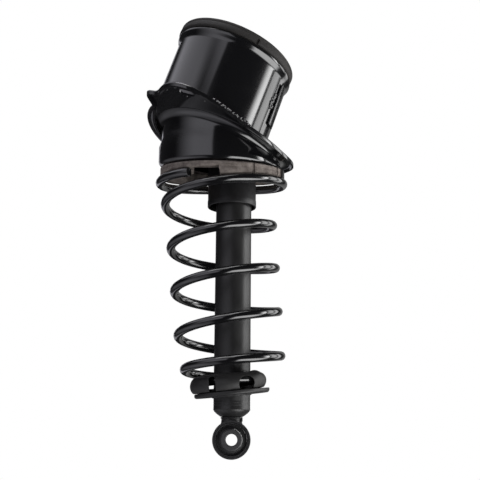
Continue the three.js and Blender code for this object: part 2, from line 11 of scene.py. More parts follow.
import bpy
from mathutils import Matrix, Vector


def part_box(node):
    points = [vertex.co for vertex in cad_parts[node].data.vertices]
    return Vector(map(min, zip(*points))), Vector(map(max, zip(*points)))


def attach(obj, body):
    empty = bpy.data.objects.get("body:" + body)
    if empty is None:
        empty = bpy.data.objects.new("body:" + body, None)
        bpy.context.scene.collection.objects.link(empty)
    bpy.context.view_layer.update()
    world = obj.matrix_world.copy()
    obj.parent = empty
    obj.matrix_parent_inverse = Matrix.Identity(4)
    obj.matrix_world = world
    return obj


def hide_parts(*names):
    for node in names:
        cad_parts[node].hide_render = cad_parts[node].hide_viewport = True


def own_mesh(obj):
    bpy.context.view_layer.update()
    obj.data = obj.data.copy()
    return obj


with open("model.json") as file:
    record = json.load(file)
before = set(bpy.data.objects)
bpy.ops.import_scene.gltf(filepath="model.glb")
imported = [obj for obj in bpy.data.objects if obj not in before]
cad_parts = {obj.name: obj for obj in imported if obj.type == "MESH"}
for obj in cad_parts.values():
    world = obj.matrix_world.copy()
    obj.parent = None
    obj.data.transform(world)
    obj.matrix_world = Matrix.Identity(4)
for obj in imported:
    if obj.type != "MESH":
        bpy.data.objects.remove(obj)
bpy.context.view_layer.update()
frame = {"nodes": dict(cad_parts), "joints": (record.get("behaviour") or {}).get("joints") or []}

MM = 0.001
Point = tuple[float, float, float]
Pair = tuple[float, float]
Way = Callable[[Vector], Vector]
log = logging.getLogger("strut")


class Body(Enum):
    """The moving bodies that pieces ride on."""

    HOUSING = "upper_housing"
    DAMPER = "damper_body"
    BUSH = "bush_core"


class Ends(Enum):
    """How the two ends of a turned profile are treated."""

    JOINED = "joined"
    CAPPED = "capped"


# ------------------------------------------------------------------------------------------------
# Shader maths
# ------------------------------------------------------------------------------------------------
class Value:
    """A number from a node, which takes part in Python arithmetic.

    Args:
        graph: The material's graph, which makes the maths nodes.
        socket: The output socket that gives the number.
    """

    def __init__(self, graph: "Graph", socket: bpy.types.NodeSocket) -> None:
        """Keeps the graph and the socket."""
        self.graph = graph
        self.socket = socket

    def _with(self, operation: str, other: "Value | float", swapped: bool = False) -> "Value":
        """Adds a Math node.

        Args:
            operation: The node's operation.
            other: The second operand.
            swapped: Whether the other operand comes first.

        Returns:
            The result.
        """
        first, second = (other, self) if swapped else (self, other)
        return self.graph.number("ShaderNodeMath", {"operation": operation}, {0: first, 1: second})

    def __add__(self, other: "Value | float") -> "Value":
        """Self plus other."""
        return self._with("ADD", other)

    def __sub__(self, other: "Value | float") -> "Value":
        """Self less other."""
        return self._with("SUBTRACT", other)

    def __rsub__(self, other: float) -> "Value":
        """Other less self."""
        return self._with("SUBTRACT", other, swapped=True)

    def __mul__(self, other: "Value | float") -> "Value":
        """Self times other."""
        return self._with("MULTIPLY", other)

    def __truediv__(self, other: "Value | float") -> "Value":
        """Self over other."""
        return self._with("DIVIDE", other)

    def __pow__(self, other: float) -> "Value":
        """Self to a power."""
        return self._with("POWER", other)

    __radd__ = __add__
    __rmul__ = __mul__

    def step(self, low: float, high: float) -> "Value":
        """A smooth step of this number.

        Args:
            low: Where the step starts, as 0.
            high: Where it ends, as 1.

        Returns:
            The stepped number.
        """
        settings = {"interpolation_type": "SMOOTHSTEP"}
        return self.graph.number(
            "ShaderNodeMapRange", settings, {"Value": self, "From Min": low, "From Max": high}
        )


class Graph:
    """A node tree that is filled through a few plain methods.

    Args:
        tree: The node tree, which is emptied.
    """

    def __init__(self, tree: bpy.types.NodeTree) -> None:
        """Keeps and empties the tree."""
        self.tree = tree
        self.tree.nodes.clear()

    def node(
        self, kind: str, settings: dict[str, object], inputs: dict[int | str, object]
    ) -> bpy.types.Node:
        """Adds one node.

        Args:
            kind: The node's type.
            settings: Attributes set on it first; "stops" fills a ramp.
            inputs: Values or links for its sockets.

        Returns:
            The node.
        """
        node = self.tree.nodes.new(kind)
        for key, setting in settings.items():
            if key == "stops":
                ramp = node.color_ramp
                for element, (position, colour) in zip(self._stops(ramp, len(setting)), setting):
                    element.position, element.color = position, (*colour, 1)
            else:
                setattr(node, key, setting)
        for key, value in inputs.items():
            self._feed(node.inputs[key], value)
        return node

    @staticmethod
    def _stops(ramp: bpy.types.ColorRamp, count: int) -> list[bpy.types.ColorRampElement]:
        """Gives a ramp as many stops as are wanted.

        Args:
            ramp: The colour ramp.
            count: How many stops.

        Returns:
            Its stops in order.
        """
        while len(ramp.elements) < count:
            ramp.elements.new(len(ramp.elements) / count)
        return list(ramp.elements)

    def _feed(self, socket: bpy.types.NodeSocket, value: object) -> None:
        """Links or sets a socket.

        Args:
            socket: The input socket.
            value: A Value, another node's socket, a colour, a vector or a number.
        """
        if isinstance(value, Value):
            self.tree.links.new(value.socket, socket)
        elif isinstance(value, bpy.types.NodeSocket):
            self.tree.links.new(value, socket)
        elif isinstance(value, (tuple, list)) and socket.type == "RGBA":
            socket.default_value = (*value, 1)
        else:
            socket.default_value = value

    def number(
        self, kind: str, settings: dict[str, object], inputs: dict[int | str, object], output: int | str = 0
    ) -> Value:
        """Adds a node whose output takes part in arithmetic.

        Args:
            kind: The node's type.
            settings: Attributes set on it first.
            inputs: Values or links for its sockets.
            output: Which output is taken.

        Returns:
            The output as a Value.
        """
        return Value(self, self.node(kind, settings, inputs).outputs[output])

    def mix(self, share: Value, low: object, high: object) -> bpy.types.NodeSocket:
        """Mixes two colours.

        Args:
            share: 0 gives low and 1 gives high.
            low: A colour or a colour socket.
            high: A colour or a colour socket.

        Returns:
            The mixed colour's socket.
        """
        node = self.node("ShaderNodeMix", {"data_type": "RGBA"}, {0: share, 6: low, 7: high})
        return node.outputs[2]


class Paint(Graph):
    """The graph of one material: a Principled shader fed by patterns on object coordinates.

    Args:
        name: The material's name.
    """

    def __init__(self, name: str) -> None:
        """Starts the material.

        Args:
            name: The material's name.
        """
        self.material = bpy.data.materials.new(name)
        self.material.use_nodes = True
        super().__init__(self.material.node_tree)
        output = self.tree.nodes.new("ShaderNodeOutputMaterial")
        self.shader = self.tree.nodes.new("ShaderNodeBsdfPrincipled")
        self.tree.links.new(self.shader.outputs["BSDF"], output.inputs["Surface"])
        self.place = self.node("ShaderNodeTexCoord", {}, {}).outputs["Object"]

    def noise(
        self, size: float, detail: float = 3, roughness: float = 0.5, stretch: Point = (1, 1, 1)
    ) -> Value:
        """Noise on object coordinates.

        Args:
            size: The pattern's grain in millimetres.
            detail: Octaves.
            roughness: Weight of the fine octaves.
            stretch: How much longer the grain is along each axis.

        Returns:
            The noise, about 0.5.
        """
        scale = tuple(1 / s for s in stretch)
        moved = self.node("ShaderNodeMapping", {}, {"Vector": self.place, "Scale": scale}).outputs["Vector"]
        inputs = {"Vector": moved, "Scale": 1 / (size * MM), "Detail": detail, "Roughness": roughness}
        return self.number("ShaderNodeTexNoise", {}, inputs)

    def specks(self, size: float, share: float) -> Value:
        """Scattered round specks.

        Args:
            size: The spacing of the specks in millimetres.
            share: A speck's radius as a share of the spacing.

        Returns:
            1 on a speck and 0 off it.
        """
        cell = self.number(
            "ShaderNodeTexVoronoi", {}, {"Vector": self.place, "Scale": 1 / (size * MM)}, "Distance"
        )
        return 1 - cell.step(share * 0.4, share)

    def bump(self, height: Value, depth: float) -> bpy.types.NodeSocket:
        """A bump from a height.

        Args:
            height: The height, from 0 to 1.
            depth: How deep 1 is, in millimetres.

        Returns:
            The normal's socket.
        """
        return self.node(
            "ShaderNodeBump", {}, {"Height": height, "Distance": depth * MM, "Strength": 1.0}
        ).outputs[0]

    def worn(self, low: float, high: float) -> Value:
        """A mask of the convex edges.

        Args:
            low: Pointiness where the mask starts.
            high: Pointiness where it is full.

        Returns:
            1 on sharp edges.
        """
        return self.number("ShaderNodeNewGeometry", {}, {}, "Pointiness").step(low, high)

    def shade(self, **inputs: object) -> bpy.types.Material:
        """Sets the shader's sockets.

        Args:
            inputs: Values by socket name, with _ for a space.

        Returns:
            The finished material.
        """
        for key, value in inputs.items():
            self._feed(self.shader.inputs[key.replace("_", " ")], value)
        return self.material


# ------------------------------------------------------------------------------------------------
# Finishes
# ------------------------------------------------------------------------------------------------
@dataclass(frozen=True)
class GlossPaint:
    """Black stove enamel over pressed steel, with a clear top, fine orange peel and a little dust."""

    name: str = "gloss_black_enamel"
    colour: Point = (0.0045, 0.0045, 0.0052)
    dust: Point = (0.03, 0.029, 0.03)
    peel: float = 0.004
    coat_roughness: float = 0.045

    def material(self) -> bpy.types.Material:
        """Builds the enamel.

        Returns:
            The material.
        """
        graph = Paint(self.name)
        cloud = graph.noise(38, 4, 0.6)
        fine = graph.noise(1.1, 2)
        dust = graph.specks(5.5, 0.09) * cloud.step(0.45, 0.62)
        edge = graph.worn(0.54, 0.6) * graph.noise(5, 3).step(0.45, 0.6)
        colour = graph.mix(dust * 0.5, graph.mix(edge * 0.35, self.colour, self.dust), self.dust)
        height = graph.noise(3.2, 1) + fine * 0.12 + dust * 0.8
        return graph.shade(
            Base_Color=colour,
            Roughness=0.16 + cloud.step(0.35, 0.75) * 0.1 + fine * 0.04 + dust * 0.3,
            Coat_Weight=1 - dust * 0.6,
            Coat_Roughness=self.coat_roughness,
            Coat_IOR=1.6,
            Specular_IOR_Level=0.2,
            Normal=graph.bump(height, self.peel),
        )


@dataclass(frozen=True)
class SatinPaint:
    """Thin satin black paint over drawn steel tube."""

    name: str = "satin_black_paint"
    colour: Point = (0.0105, 0.0105, 0.011)
    scuff: Point = (0.032, 0.031, 0.031)
    roughness: float = 0.4
    grain: Point = (1, 1, 1)

    def material(self) -> bpy.types.Material:
        """Builds the paint.

        Returns:
            The material.
        """
        graph = Paint(self.name)
        cloud = graph.noise(24, 4, 0.6, self.grain)
        fine = graph.noise(0.9, 3)
        scuffs = graph.noise(2.4, 5, 0.7, (1, 1, 9)).step(0.6, 0.72) * cloud.step(0.4, 0.6)
        edge = graph.worn(0.53, 0.6)
        colour = graph.mix(scuffs * 0.35 + edge * 0.25, self.colour, self.scuff)
        return graph.shade(
            Base_Color=colour,
            Roughness=self.roughness + cloud * 0.12 + fine * 0.08,
            Normal=graph.bump(fine + cloud * 0.6, 0.022),
        )


@dataclass(frozen=True)
class MouldedRubber:
    """Black moulded rubber with a fine bloom and a few nibs."""

    name: str = "moulded_rubber"
    colour: Point = (0.0135, 0.0132, 0.0132)
    bloom: Point = (0.036, 0.035, 0.034)
    roughness: float = 0.5
    amount: float = 0.5

    def material(self) -> bpy.types.Material:
        """Builds the rubber.

        Returns:
            The material.
        """
        graph = Paint(self.name)
        cloud = graph.noise(14, 5, 0.62)
        fine = graph.noise(0.6, 3, 0.6)
        nibs = graph.specks(3.1, 0.12) * cloud.step(0.42, 0.6)
        colour = graph.mix(cloud.step(0.35, 0.75) * self.amount + fine * 0.12, self.colour, self.bloom)
        return graph.shade(
            Base_Color=colour,
            Roughness=self.roughness + cloud * 0.18 + fine * 0.1,
            Specular_IOR_Level=0.42,
            Normal=graph.bump(fine * 0.5 + cloud * 0.4 + nibs * 0.5, 0.06),
        )


@dataclass(frozen=True)
class ChalkyRubber:
    """Old-looking rubber with a chalky grey-brown bloom, pits and scratches."""

    name: str = "chalky_rubber"
    colour: Point = (0.075, 0.062, 0.055)
    chalk: Point = (0.24, 0.21, 0.19)
    dirt: Point = (0.022, 0.019, 0.017)

    def material(self) -> bpy.types.Material:
        """Builds the chalky rubber.

        Returns:
            The material.
        """
        graph = Paint(self.name)
        cloud = graph.noise(9, 6, 0.68)
        fine = graph.noise(0.8, 4, 0.7)
        scratches = graph.noise(1.3, 3, 0.6, (7, 7, 1)).step(0.58, 0.68)
        pits = graph.specks(2.6, 0.16) * fine.step(0.4, 0.6)
        body = graph.mix(cloud.step(0.32, 0.7) * 0.75 + fine * 0.25, self.colour, self.chalk)
        marked = graph.mix(scratches * 0.35, body, self.chalk)
        return graph.shade(
            Base_Color=graph.mix(pits * 0.7, marked, self.dirt),
            Roughness=0.8 + fine * 0.15,
            Specular_IOR_Level=0.25,
            Normal=graph.bump(fine * 0.7 + cloud * 0.5 - pits * 0.4, 0.18),
        )


@dataclass(frozen=True)
class BareMetal:
    """Bare or plated metal with turning marks and light tarnish."""

    name: str = "turned_steel"
    colour: Point = (0.33, 0.33, 0.34)
    tarnish: Point = (0.12, 0.115, 0.11)
    roughness: float = 0.34
    stain: float = 0.5
    grain: Point = (6, 0.6, 6)

    def material(self) -> bpy.types.Material:
        """Builds the metal.

        Returns:
            The material.
        """
        graph = Paint(self.name)
        cloud = graph.noise(7, 5, 0.65)
        lines = graph.noise(0.7, 3, 0.6, self.grain)
        colour = graph.mix(cloud.step(0.4, 0.75) * self.stain, self.colour, self.tarnish)
        return graph.shade(
            Base_Color=colour,
            Metallic=1 - cloud.step(0.55, 0.8) * 0.25,
            Roughness=self.roughness + lines * 0.16 + cloud * 0.08,
            Normal=graph.bump(lines, 0.012),
        )


@dataclass(frozen=True)
class CellularFoam:
    """Microcellular foam with small open cells."""

    name: str = "cellular_foam"
    colour: Point = (0.42, 0.38, 0.26)
    shade: Point = (0.2, 0.17, 0.1)

    def material(self) -> bpy.types.Material:
        """Builds the foam.

        Returns:
            The material.
        """
        graph = Paint(self.name)
        cells = graph.specks(1.2, 0.35)
        cloud = graph.noise(11, 4)
        return graph.shade(
            Base_Color=graph.mix(cells * 0.5 + cloud * 0.3, self.colour, self.shade),
            Roughness=0.82 + cloud * 0.1,
            Specular_IOR_Level=0.2,
            Normal=graph.bump(1 - cells, 0.15),
        )


class Finishes:
    """Every finish of the assembly, made once."""

    def __init__(self) -> None:
        """Makes the materials."""
        self.gloss = GlossPaint().material()
        self.wire = GlossPaint(name="spring_enamel", peel=0.004, coat_roughness=0.09).material()
        self.weld = GlossPaint(name="enamelled_weld", peel=0.25, coat_roughness=0.12).material()
        self.satin = SatinPaint().material()
        self.tube = SatinPaint(
            name="satin_tube_paint", colour=(0.0125, 0.0125, 0.0128), roughness=0.3
        ).material()
        self.dust_tube = SatinPaint(
            name="dust_tube_plastic", colour=(0.0095, 0.0095, 0.0105), roughness=0.36
        ).material()
        self.seal = MouldedRubber(
            name="rim_rubber", colour=(0.009, 0.0082, 0.0078), bloom=(0.03, 0.026, 0.023), roughness=0.55
        ).material()
        self.rubber = MouldedRubber(colour=(0.017, 0.0166, 0.0168), roughness=0.4).material()
        self.bush = MouldedRubber(
            name="bush_rubber_black", colour=(0.012, 0.0125, 0.013), amount=0.35
        ).material()
        self.chalk = ChalkyRubber().material()
        self.eye = SatinPaint(name="eye_paint", colour=(0.011, 0.011, 0.012), roughness=0.4).material()
        self.sleeve = SatinPaint(
            name="phosphated_sleeve", colour=(0.034, 0.034, 0.036), scuff=(0.07, 0.07, 0.07), roughness=0.5
        ).material()
        self.zinc = BareMetal(
            name="zinc_plate", colour=(0.52, 0.53, 0.55), tarnish=(0.3, 0.3, 0.3), roughness=0.3
        ).material()
        self.inner = BareMetal(
            name="oiled_steel", colour=(0.2, 0.2, 0.21), roughness=0.28, grain=(1, 1, 8)
        ).material()
        self.chrome = BareMetal(
            name="chromed_rod", colour=(
                0.62, 0.63, 0.65
            ), tarnish=(0.5, 0.5, 0.5), roughness=0.07, stain=0.15
        ).material()
        self.foam = CellularFoam().material()


# ------------------------------------------------------------------------------------------------
# Modelling moves
# ------------------------------------------------------------------------------------------------
class Bench:
    """The modelling moves that every sub-assembly uses, in millimetres until a piece is delivered."""

    @staticmethod
    def clear() -> None:
        """Leaves edit mode and deselects everything."""
        if bpy.context.mode != "OBJECT":
            bpy.ops.object.mode_set(mode="OBJECT")
        bpy.ops.object.select_all(action="DESELECT")

    @classmethod
    def hold(cls, piece: bpy.types.Object) -> None:
        """Selects one piece alone.

        Args:
            piece: The piece.
        """
        cls.clear()
        piece.select_set(True)
        bpy.context.view_layer.objects.active = piece

    @classmethod
    def settle(cls, piece: bpy.types.Object) -> bpy.types.Object:
        """Applies a piece's own place to its mesh.

        Args:
            piece: The piece.

        Returns:
            The piece.
        """
        cls.hold(piece)
        bpy.ops.object.transform_apply(location=True, rotation=True, scale=True)
        return piece

    @classmethod
    def turned(
        cls,
        name: str,
        profile: Sequence[Pair],
        segments: int = 96,
        ends: Ends = Ends.JOINED,
        place: Matrix | None = None,
    ) -> bpy.types.Object:
        """Turns a piece about +Z: a ring is extruded and resized along a profile.

        Args:
            name: The piece's name.
            profile: Radius and height of each ring.
            segments: Sides of each ring.
            ends: Whether the last ring joins the first, or both are capped.
            place: Where the turned piece goes.

        Returns:
            The piece.
        """
        cls.clear()
        radius, height = profile[0]
        bpy.ops.mesh.primitive_circle_add(vertices=segments, radius=radius, location=(0, 0, height))
        piece = bpy.context.object
        piece.name = name
        cls.settle(piece)
        bpy.ops.object.mode_set(mode="EDIT")
        bpy.ops.mesh.select_all(action="SELECT")
        rings = list(profile[1:]) + ([profile[0]] if ends is Ends.JOINED else [])
        for next_radius, next_height in rings:
            rise = (0, 0, next_height - height)
            bpy.ops.mesh.extrude_edges_move(TRANSFORM_OT_translate={"value": rise})
            grow = next_radius / radius
            bpy.ops.transform.resize(value=(grow, grow, 1), center_override=(0, 0, next_height))
            radius, height = next_radius, next_height
        bpy.ops.mesh.select_all(action="SELECT")
        if ends is Ends.JOINED:
            bpy.ops.mesh.remove_doubles(threshold=0.005)
        else:
            bpy.ops.mesh.fill_holes(sides=0)
        bpy.ops.mesh.select_all(action="SELECT")
        bpy.ops.mesh.normals_make_consistent(inside=False)
        bpy.ops.object.mode_set(mode="OBJECT")
        if place is not None:
            piece.data.transform(place)
        return piece

    @classmethod
    def block(cls, name: str, size: Point, place: Matrix) -> bpy.types.Object:
        """A block to shape or cut with.

        Args:
            name: The piece's name.
            size: Its three sides.
            place: Where its centre and axes go.

        Returns:
            The block.
        """
        cls.clear()
        bpy.ops.mesh.primitive_cube_add(size=1, scale=size)
        piece = cls.settle(bpy.context.object)
        piece.name = name
        piece.data.transform(place)
        return piece

    @classmethod
    def lobe(cls, name: str, size: Point, place: Matrix, rings: int = 12) -> bpy.types.Object:
        """A rounded drop, such as a weld spot or a nib, flattened at its foot.

        Args:
            name: The piece's name.
            size: Its three half sides.
            place: Where it goes.
            rings: Its fineness.

        Returns:
            The drop.
        """
        cls.clear()
        bpy.ops.mesh.primitive_uv_sphere_add(segments=2 * rings, ring_count=rings, scale=size)
        piece = cls.settle(bpy.context.object)
        piece.name = name
        piece.data.transform(place)
        return piece

    @classmethod
    def swept(
        cls, name: str, line: Sequence[
            Vector
        ], radii: Sequence[float] | float, sides: int = 8, closed: bool = False
    ) -> bpy.types.Object:
        """A round bar swept along a line.

        Args:
            name: The piece's name.
            line: The points of its middle.
            radii: Its radius, or one at each point.
            sides: The curve's bevel resolution.
            closed: Whether the line closes on itself.

        Returns:
            The bar as a mesh.
        """
        cls.clear()
        bpy.ops.curve.primitive_nurbs_path_add()
        piece = bpy.context.object
        piece.name = name
        curve = piece.data
        curve.splines.clear()
        spline = curve.splines.new("POLY")
        spline.points.add(len(line) - 1)
        each = [radii] * len(line) if isinstance(radii, (int, float)) else list(radii)
        for point, where, radius in zip(spline.points, line, each):
            point.co = (*where, 1)
            point.radius = radius
        spline.use_cyclic_u = closed
        curve.dimensions = "3D"
        curve.twist_mode = "MINIMUM"
        curve.bevel_depth = 1
        curve.bevel_resolution = sides
        curve.use_fill_caps = not closed
        cls.hold(piece)
        bpy.ops.object.convert(target="MESH")
        bpy.ops.object.mode_set(mode="EDIT")
        bpy.ops.mesh.select_all(action="SELECT")
        bpy.ops.mesh.remove_doubles(threshold=0.001)
        bpy.ops.mesh.normals_make_consistent(inside=False)
        bpy.ops.object.mode_set(mode="OBJECT")
        return piece

    @classmethod
    def applied(cls, piece: bpy.types.Object, kind: str, **settings: object) -> bpy.types.Object:
        """Adds one modifier and applies it.

        Args:
            piece: The piece.
            kind: The modifier's type.
            settings: Its settings.

        Returns:
            The piece.
        """
        cls.hold(piece)
        modifier = piece.modifiers.new(kind.title(), kind)
        for key, value in settings.items():
            setattr(modifier, key, value)
        bpy.ops.object.modifier_apply(modifier=modifier.name)
        return piece

    @classmethod
    def cut(cls, piece: bpy.types.Object, *tools: bpy.types.Object) -> bpy.types.Object:
        """Cuts a piece with tools, which are then removed.

        Args:
            piece: The piece.
            tools: The cutting tools.

        Returns:
            The piece.
        """
        for tool in tools:
            cls.applied(piece, "BOOLEAN", operation="DIFFERENCE", solver="EXACT", object=tool)
            bpy.data.objects.remove(tool)
        return piece

    @classmethod
    def kept_inside(cls, piece: bpy.types.Object, tool: bpy.types.Object) -> bpy.types.Object:
        """Keeps what lies inside a tool, which is then removed.

        Args:
            piece: The piece.
            tool: The solid that bounds it.

        Returns:
            The piece.
        """
        cls.applied(piece, "BOOLEAN", operation="INTERSECT", solver="EXACT", object=tool)
        bpy.data.objects.remove(tool)
        return piece

    @classmethod
    def united(cls, piece: bpy.types.Object, *others: bpy.types.Object) -> bpy.types.Object:
        """Adds other solids to a piece; they are then removed.

        Args:
            piece: The piece.
            others: The pieces that join it.

        Returns:
            The piece.
        """
        for other in others:
            cls.applied(piece, "BOOLEAN", operation="UNION", solver="EXACT", object=other)
            bpy.data.objects.remove(other)
        return piece

    @classmethod
    def gathered(cls, piece: bpy.types.Object, *others: bpy.types.Object) -> bpy.types.Object:
        """Joins loose pieces into one object without merging their solids.

        Args:
            piece: The piece.
            others: The pieces that join it.

        Returns:
            The piece.
        """
        cls.clear()
        for other in (*others, piece):
            other.select_set(True)
        bpy.context.view_layer.objects.active = piece
        bpy.ops.object.join()
        return piece

    @staticmethod
    def moulded(piece: bpy.types.Object, way: Way) -> bpy.types.Object:
        """Presses a mesh to shape.

        Args:
            piece: The piece.
            way: Where each vertex goes.

        Returns:
            The piece.
        """
        for vertex in piece.data.vertices:
            vertex.co = way(vertex.co.copy())
        piece.data.update()
        return piece

    @classmethod
    def trimmed(cls, piece: bpy.types.Object, point: Vector, normal: Vector) -> bpy.types.Object:
        """Cuts away what lies on the normal's side of a plane and closes the cut.

        Args:
            piece: The piece.
            point: A point of the plane.
            normal: The side that goes.

        Returns:
            The piece.
        """
        cls.hold(piece)
        bpy.ops.object.mode_set(mode="EDIT")
        bpy.ops.mesh.select_all(action="SELECT")
        bpy.ops.mesh.bisect(plane_co=point, plane_no=normal, clear_outer=True, use_fill=True)
        bpy.ops.object.mode_set(mode="OBJECT")
        return piece

    @classmethod
    def softened(
        cls, piece: bpy.types.Object, width: float, steps: int = 2, angle: float = 32
    ) -> bpy.types.Object:
        """Rounds the sharp edges a little.

        Args:
            piece: The piece.
            width: The rounding's width.
            steps: Its segments.
            angle: The least angle that counts as sharp, in degrees.

        Returns:
            The piece.
        """
        settings = {
            "width": width, "segments": steps, "limit_method": "ANGLE", "angle_limit": math.radians(angle)
        }
        return cls.applied(piece, "BEVEL", use_clamp_overlap=True, harden_normals=False, **settings)

    @classmethod
    def deliver(
        cls,
        piece: bpy.types.Object,
        body: Body,
        slot: str,
        finish: bpy.types.Material,
        nodes: Iterable[str] = (),
        smooth: float = 40,
    ) -> bpy.types.Object:
        """Brings a finished piece to metres, smooths it, paints it and hands it to its body.

        Args:
            piece: The piece.
            body: The body it rides on.
            slot: The record's material slot; it is not used.
            finish: Its material.
            nodes: The CAD nodes it stands for.
            smooth: The angle under which faces shade as one, in degrees.

        Returns:
            The piece.
        """
        cls.hold(piece)
        piece.data.transform(Matrix.Scale(MM, 4))
        bpy.ops.object.shade_smooth_by_angle(angle=math.radians(smooth))
        piece.data.materials.clear()
        piece.data.materials.append(finish)
        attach(piece, body.value)
        if nodes:
            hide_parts(*nodes)
        log.info("%s: %d faces on %s", piece.name, len(piece.data.polygons), body.value)
        return piece


LAY_ALONG_Y = Matrix.Rotation(math.radians(90), 4, "X")
TUBE_WAY_RADIUS = 32.5
TUBE_WAY_X = -2.5
TUBE_WAY_ENDS: Pair = (250, 430)
ROD_BORE = 5.3


def arc(centre: Pair, radius: float, start: float, stop: float, steps: int) -> list[Pair]:
    """Points of an arc in a profile.

    Args:
        centre: Its centre.
        radius: Its radius.
        start: First angle in degrees.
        stop: Last angle in degrees.
        steps: How many spans.

    Returns:
        Its points, as radius and height.
    """
    turns = [math.radians(start + (stop - start) * i / steps) for i in range(steps + 1)]
    return [(centre[0] + radius * math.cos(t), centre[1] + radius * math.sin(t)) for t in turns]


def band(inner: float, outer: float, low: float, high: float) -> list[Pair]:
    """The square profile of a ring, from its radii and heights."""
    return [(inner, low), (outer, low), (outer, high), (inner, high)]


def tube_way() -> bpy.types.Object:
    """The cutter that frees the dust tube's way through the housing."""
    profile = [(TUBE_WAY_RADIUS, height) for height in TUBE_WAY_ENDS]
    return Bench.turned("tube_way", profile, 64, Ends.CAPPED, Matrix.Translation((TUBE_WAY_X, 0, 0)))


def ring_of(radius: float, height: float, count: int) -> list[Vector]:
    """Points evenly round a level ring.

    Args:
        radius: The ring's radius.
        height: The ring's height.
        count: How many points.

    Returns:
        The points.
    """
    turns = [math.tau * i / count for i in range(count)]
    return [Vector((radius * math.cos(t), radius * math.sin(t), height)) for t in turns]


def bead_radii(count: int, radius: float, wave: float, spread: float, seed: int) -> list[float]:
    """A weld bead's radius at each of its points.

    Args:
        count: How many points.
        radius: The mean radius.
        wave: How far it swells and narrows.
        spread: How far it varies at random.
        seed: The random seed.

    Returns:
        The radii.
    """
    rng = random.Random(seed)
    return [radius + wave * math.sin(0.8 * i) + spread * rng.random() for i in range(count)]


def extent(node: str) -> tuple[Vector, Vector]:
    """A CAD node's lowest and highest corners, in millimetres."""
    low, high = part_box(node)
    return low / MM, high / MM


# ------------------------------------------------------------------------------------------------
# Shapes that several pieces share
# ------------------------------------------------------------------------------------------------
@dataclass(frozen=True)
class TiltedPlane:
    """A plane through a centre that falls to the right and to the front by two angles in degrees."""

    centre: Point
    fall_right: float
    fall_front: float

    @property
    def normal(self) -> Vector:
        """The plane's upward normal.

        Returns:
            The unit normal.
        """
        right, front = math.radians(self.fall_right), math.radians(self.fall_front)
        along = math.sin(right) * math.cos(front), -math.sin(front), math.cos(right) * math.cos(front)
        return Vector(along).normalized()

    def height(self, x: float, y: float) -> float:
        """Height of the plane over a place in plan.

        Args:
            x: Distance to the right.
            y: Distance to the back.

        Returns:
            The height.
        """
        normal = self.normal
        return self.centre[2] - (
            normal.x * (x - self.centre[0]) + normal.y * (y - self.centre[1])
        ) / normal.z

    def matrix(self) -> Matrix:
        """A frame whose Z is the normal, whose Y leans back and whose X lies in the plane.

        Returns:
            The frame.
        """
        normal = self.normal
        across = Vector((0, 1, 0)).cross(normal).normalized()
        back = normal.cross(across)
        turned = Matrix((across, back, normal)).transposed().to_4x4()
        return Matrix.Translation(self.centre) @ turned


@dataclass
class HousingForm:
    """The pressed housing's shared surfaces: the cup's floor, the brim and the canister's planes."""

    floor: TiltedPlane = TiltedPlane((-17.6, 0, 343), 1, 8)
    brim: TiltedPlane = TiltedPlane((-17, 0, 366), 22.5, -11.4)
    can_top: TiltedPlane = TiltedPlane((2.6, 0, 499.5), 18.5, -4)
    rim_top: TiltedPlane = TiltedPlane((2.6, 0, 500.5), 22.8, -4)
    cup_radius: float = 77.5
    can_radius: float = 76
    sheet: float = 2.5
    brim_over_floor: float = 7
    blend: float = 14
    brim_reach: float = 16
    lobes: tuple[tuple[float, float, float], ...] = (
        (56, 27, 11), (128, 26, 8), (168, -10, 17), (219, 13, 4), (247, 36, 18),
    )

    def around(self, degrees: float, reach: float) -> Vector:
        """A place in plan from the brim's centre.

        Args:
            degrees: Its direction.
            reach: How far it is beyond the cup's wall.

        Returns:
            The place, relative to the brim's centre.
        """
        turn = math.radians(degrees)
        radius = self.cup_radius + reach
        return Vector((radius * math.cos(turn), radius * math.sin(turn), 0))

    def brim_radius(self, turn: float) -> float:
        """Distance from the brim's centre to its edge: two lugs, a dip, an ear and a front swell.

        Args:
            turn: Direction in radians.

        Returns:
            The distance.
        """
        degrees = math.degrees(turn) % 360
        reach = self.brim_reach
        for centre, height, width in self.lobes:
            away = (degrees - centre + 180) % 360 - 180
            reach += height * math.exp(-((away / width) ** 2) / 2)
        return self.cup_radius + reach

    def brim_height(self, x: float, y: float) -> float:
        """Height of the brim's top face: the oblique plane, held above the cup's floor on the low side.

        Args:
            x: Distance to the right.
            y: Distance to the back.

        Returns:
            The height.
        """
        oblique = self.brim.height(x, y)
        lowest = self.floor.height(x, y) + self.brim_over_floor
        return (oblique + lowest + math.hypot(oblique - lowest, self.blend)) / 2

    def can_wall_on_brim(self, turn: float, radius: float) -> Vector:
        """Where the canister's wall meets the brim.

        Args:
            turn: Angle round the canister in radians.
            radius: Radius of the wall.

        Returns:
            The point.
        """
        frame_of_can = self.can_top.matrix()
        low, high = -230.0, 0.0
        for _ in range(30):
            middle = (low + high) / 2
            point = frame_of_can @ Vector((radius * math.cos(turn), radius * math.sin(turn), middle))
            if point.z > self.brim_height(point.x, point.y):
                high = middle
            else:
                low = middle
        return point

    def brim_normal(self, x: float, y: float) -> Vector:
        """The brim's upward normal at a place in plan.

        Args:
            x: Distance to the right.
            y: Distance to the back.

        Returns:
            The unit normal.
        """
        step = 0.5
        rise_x = (self.brim_height(x + step, y) - self.brim_height(x - step, y)) / (2 * step)
        rise_y = (self.brim_height(x, y + step) - self.brim_height(x, y - step)) / (2 * step)
        return Vector((-rise_x, -rise_y, 1)).normalized()


Station = tuple[float, float, float, float]


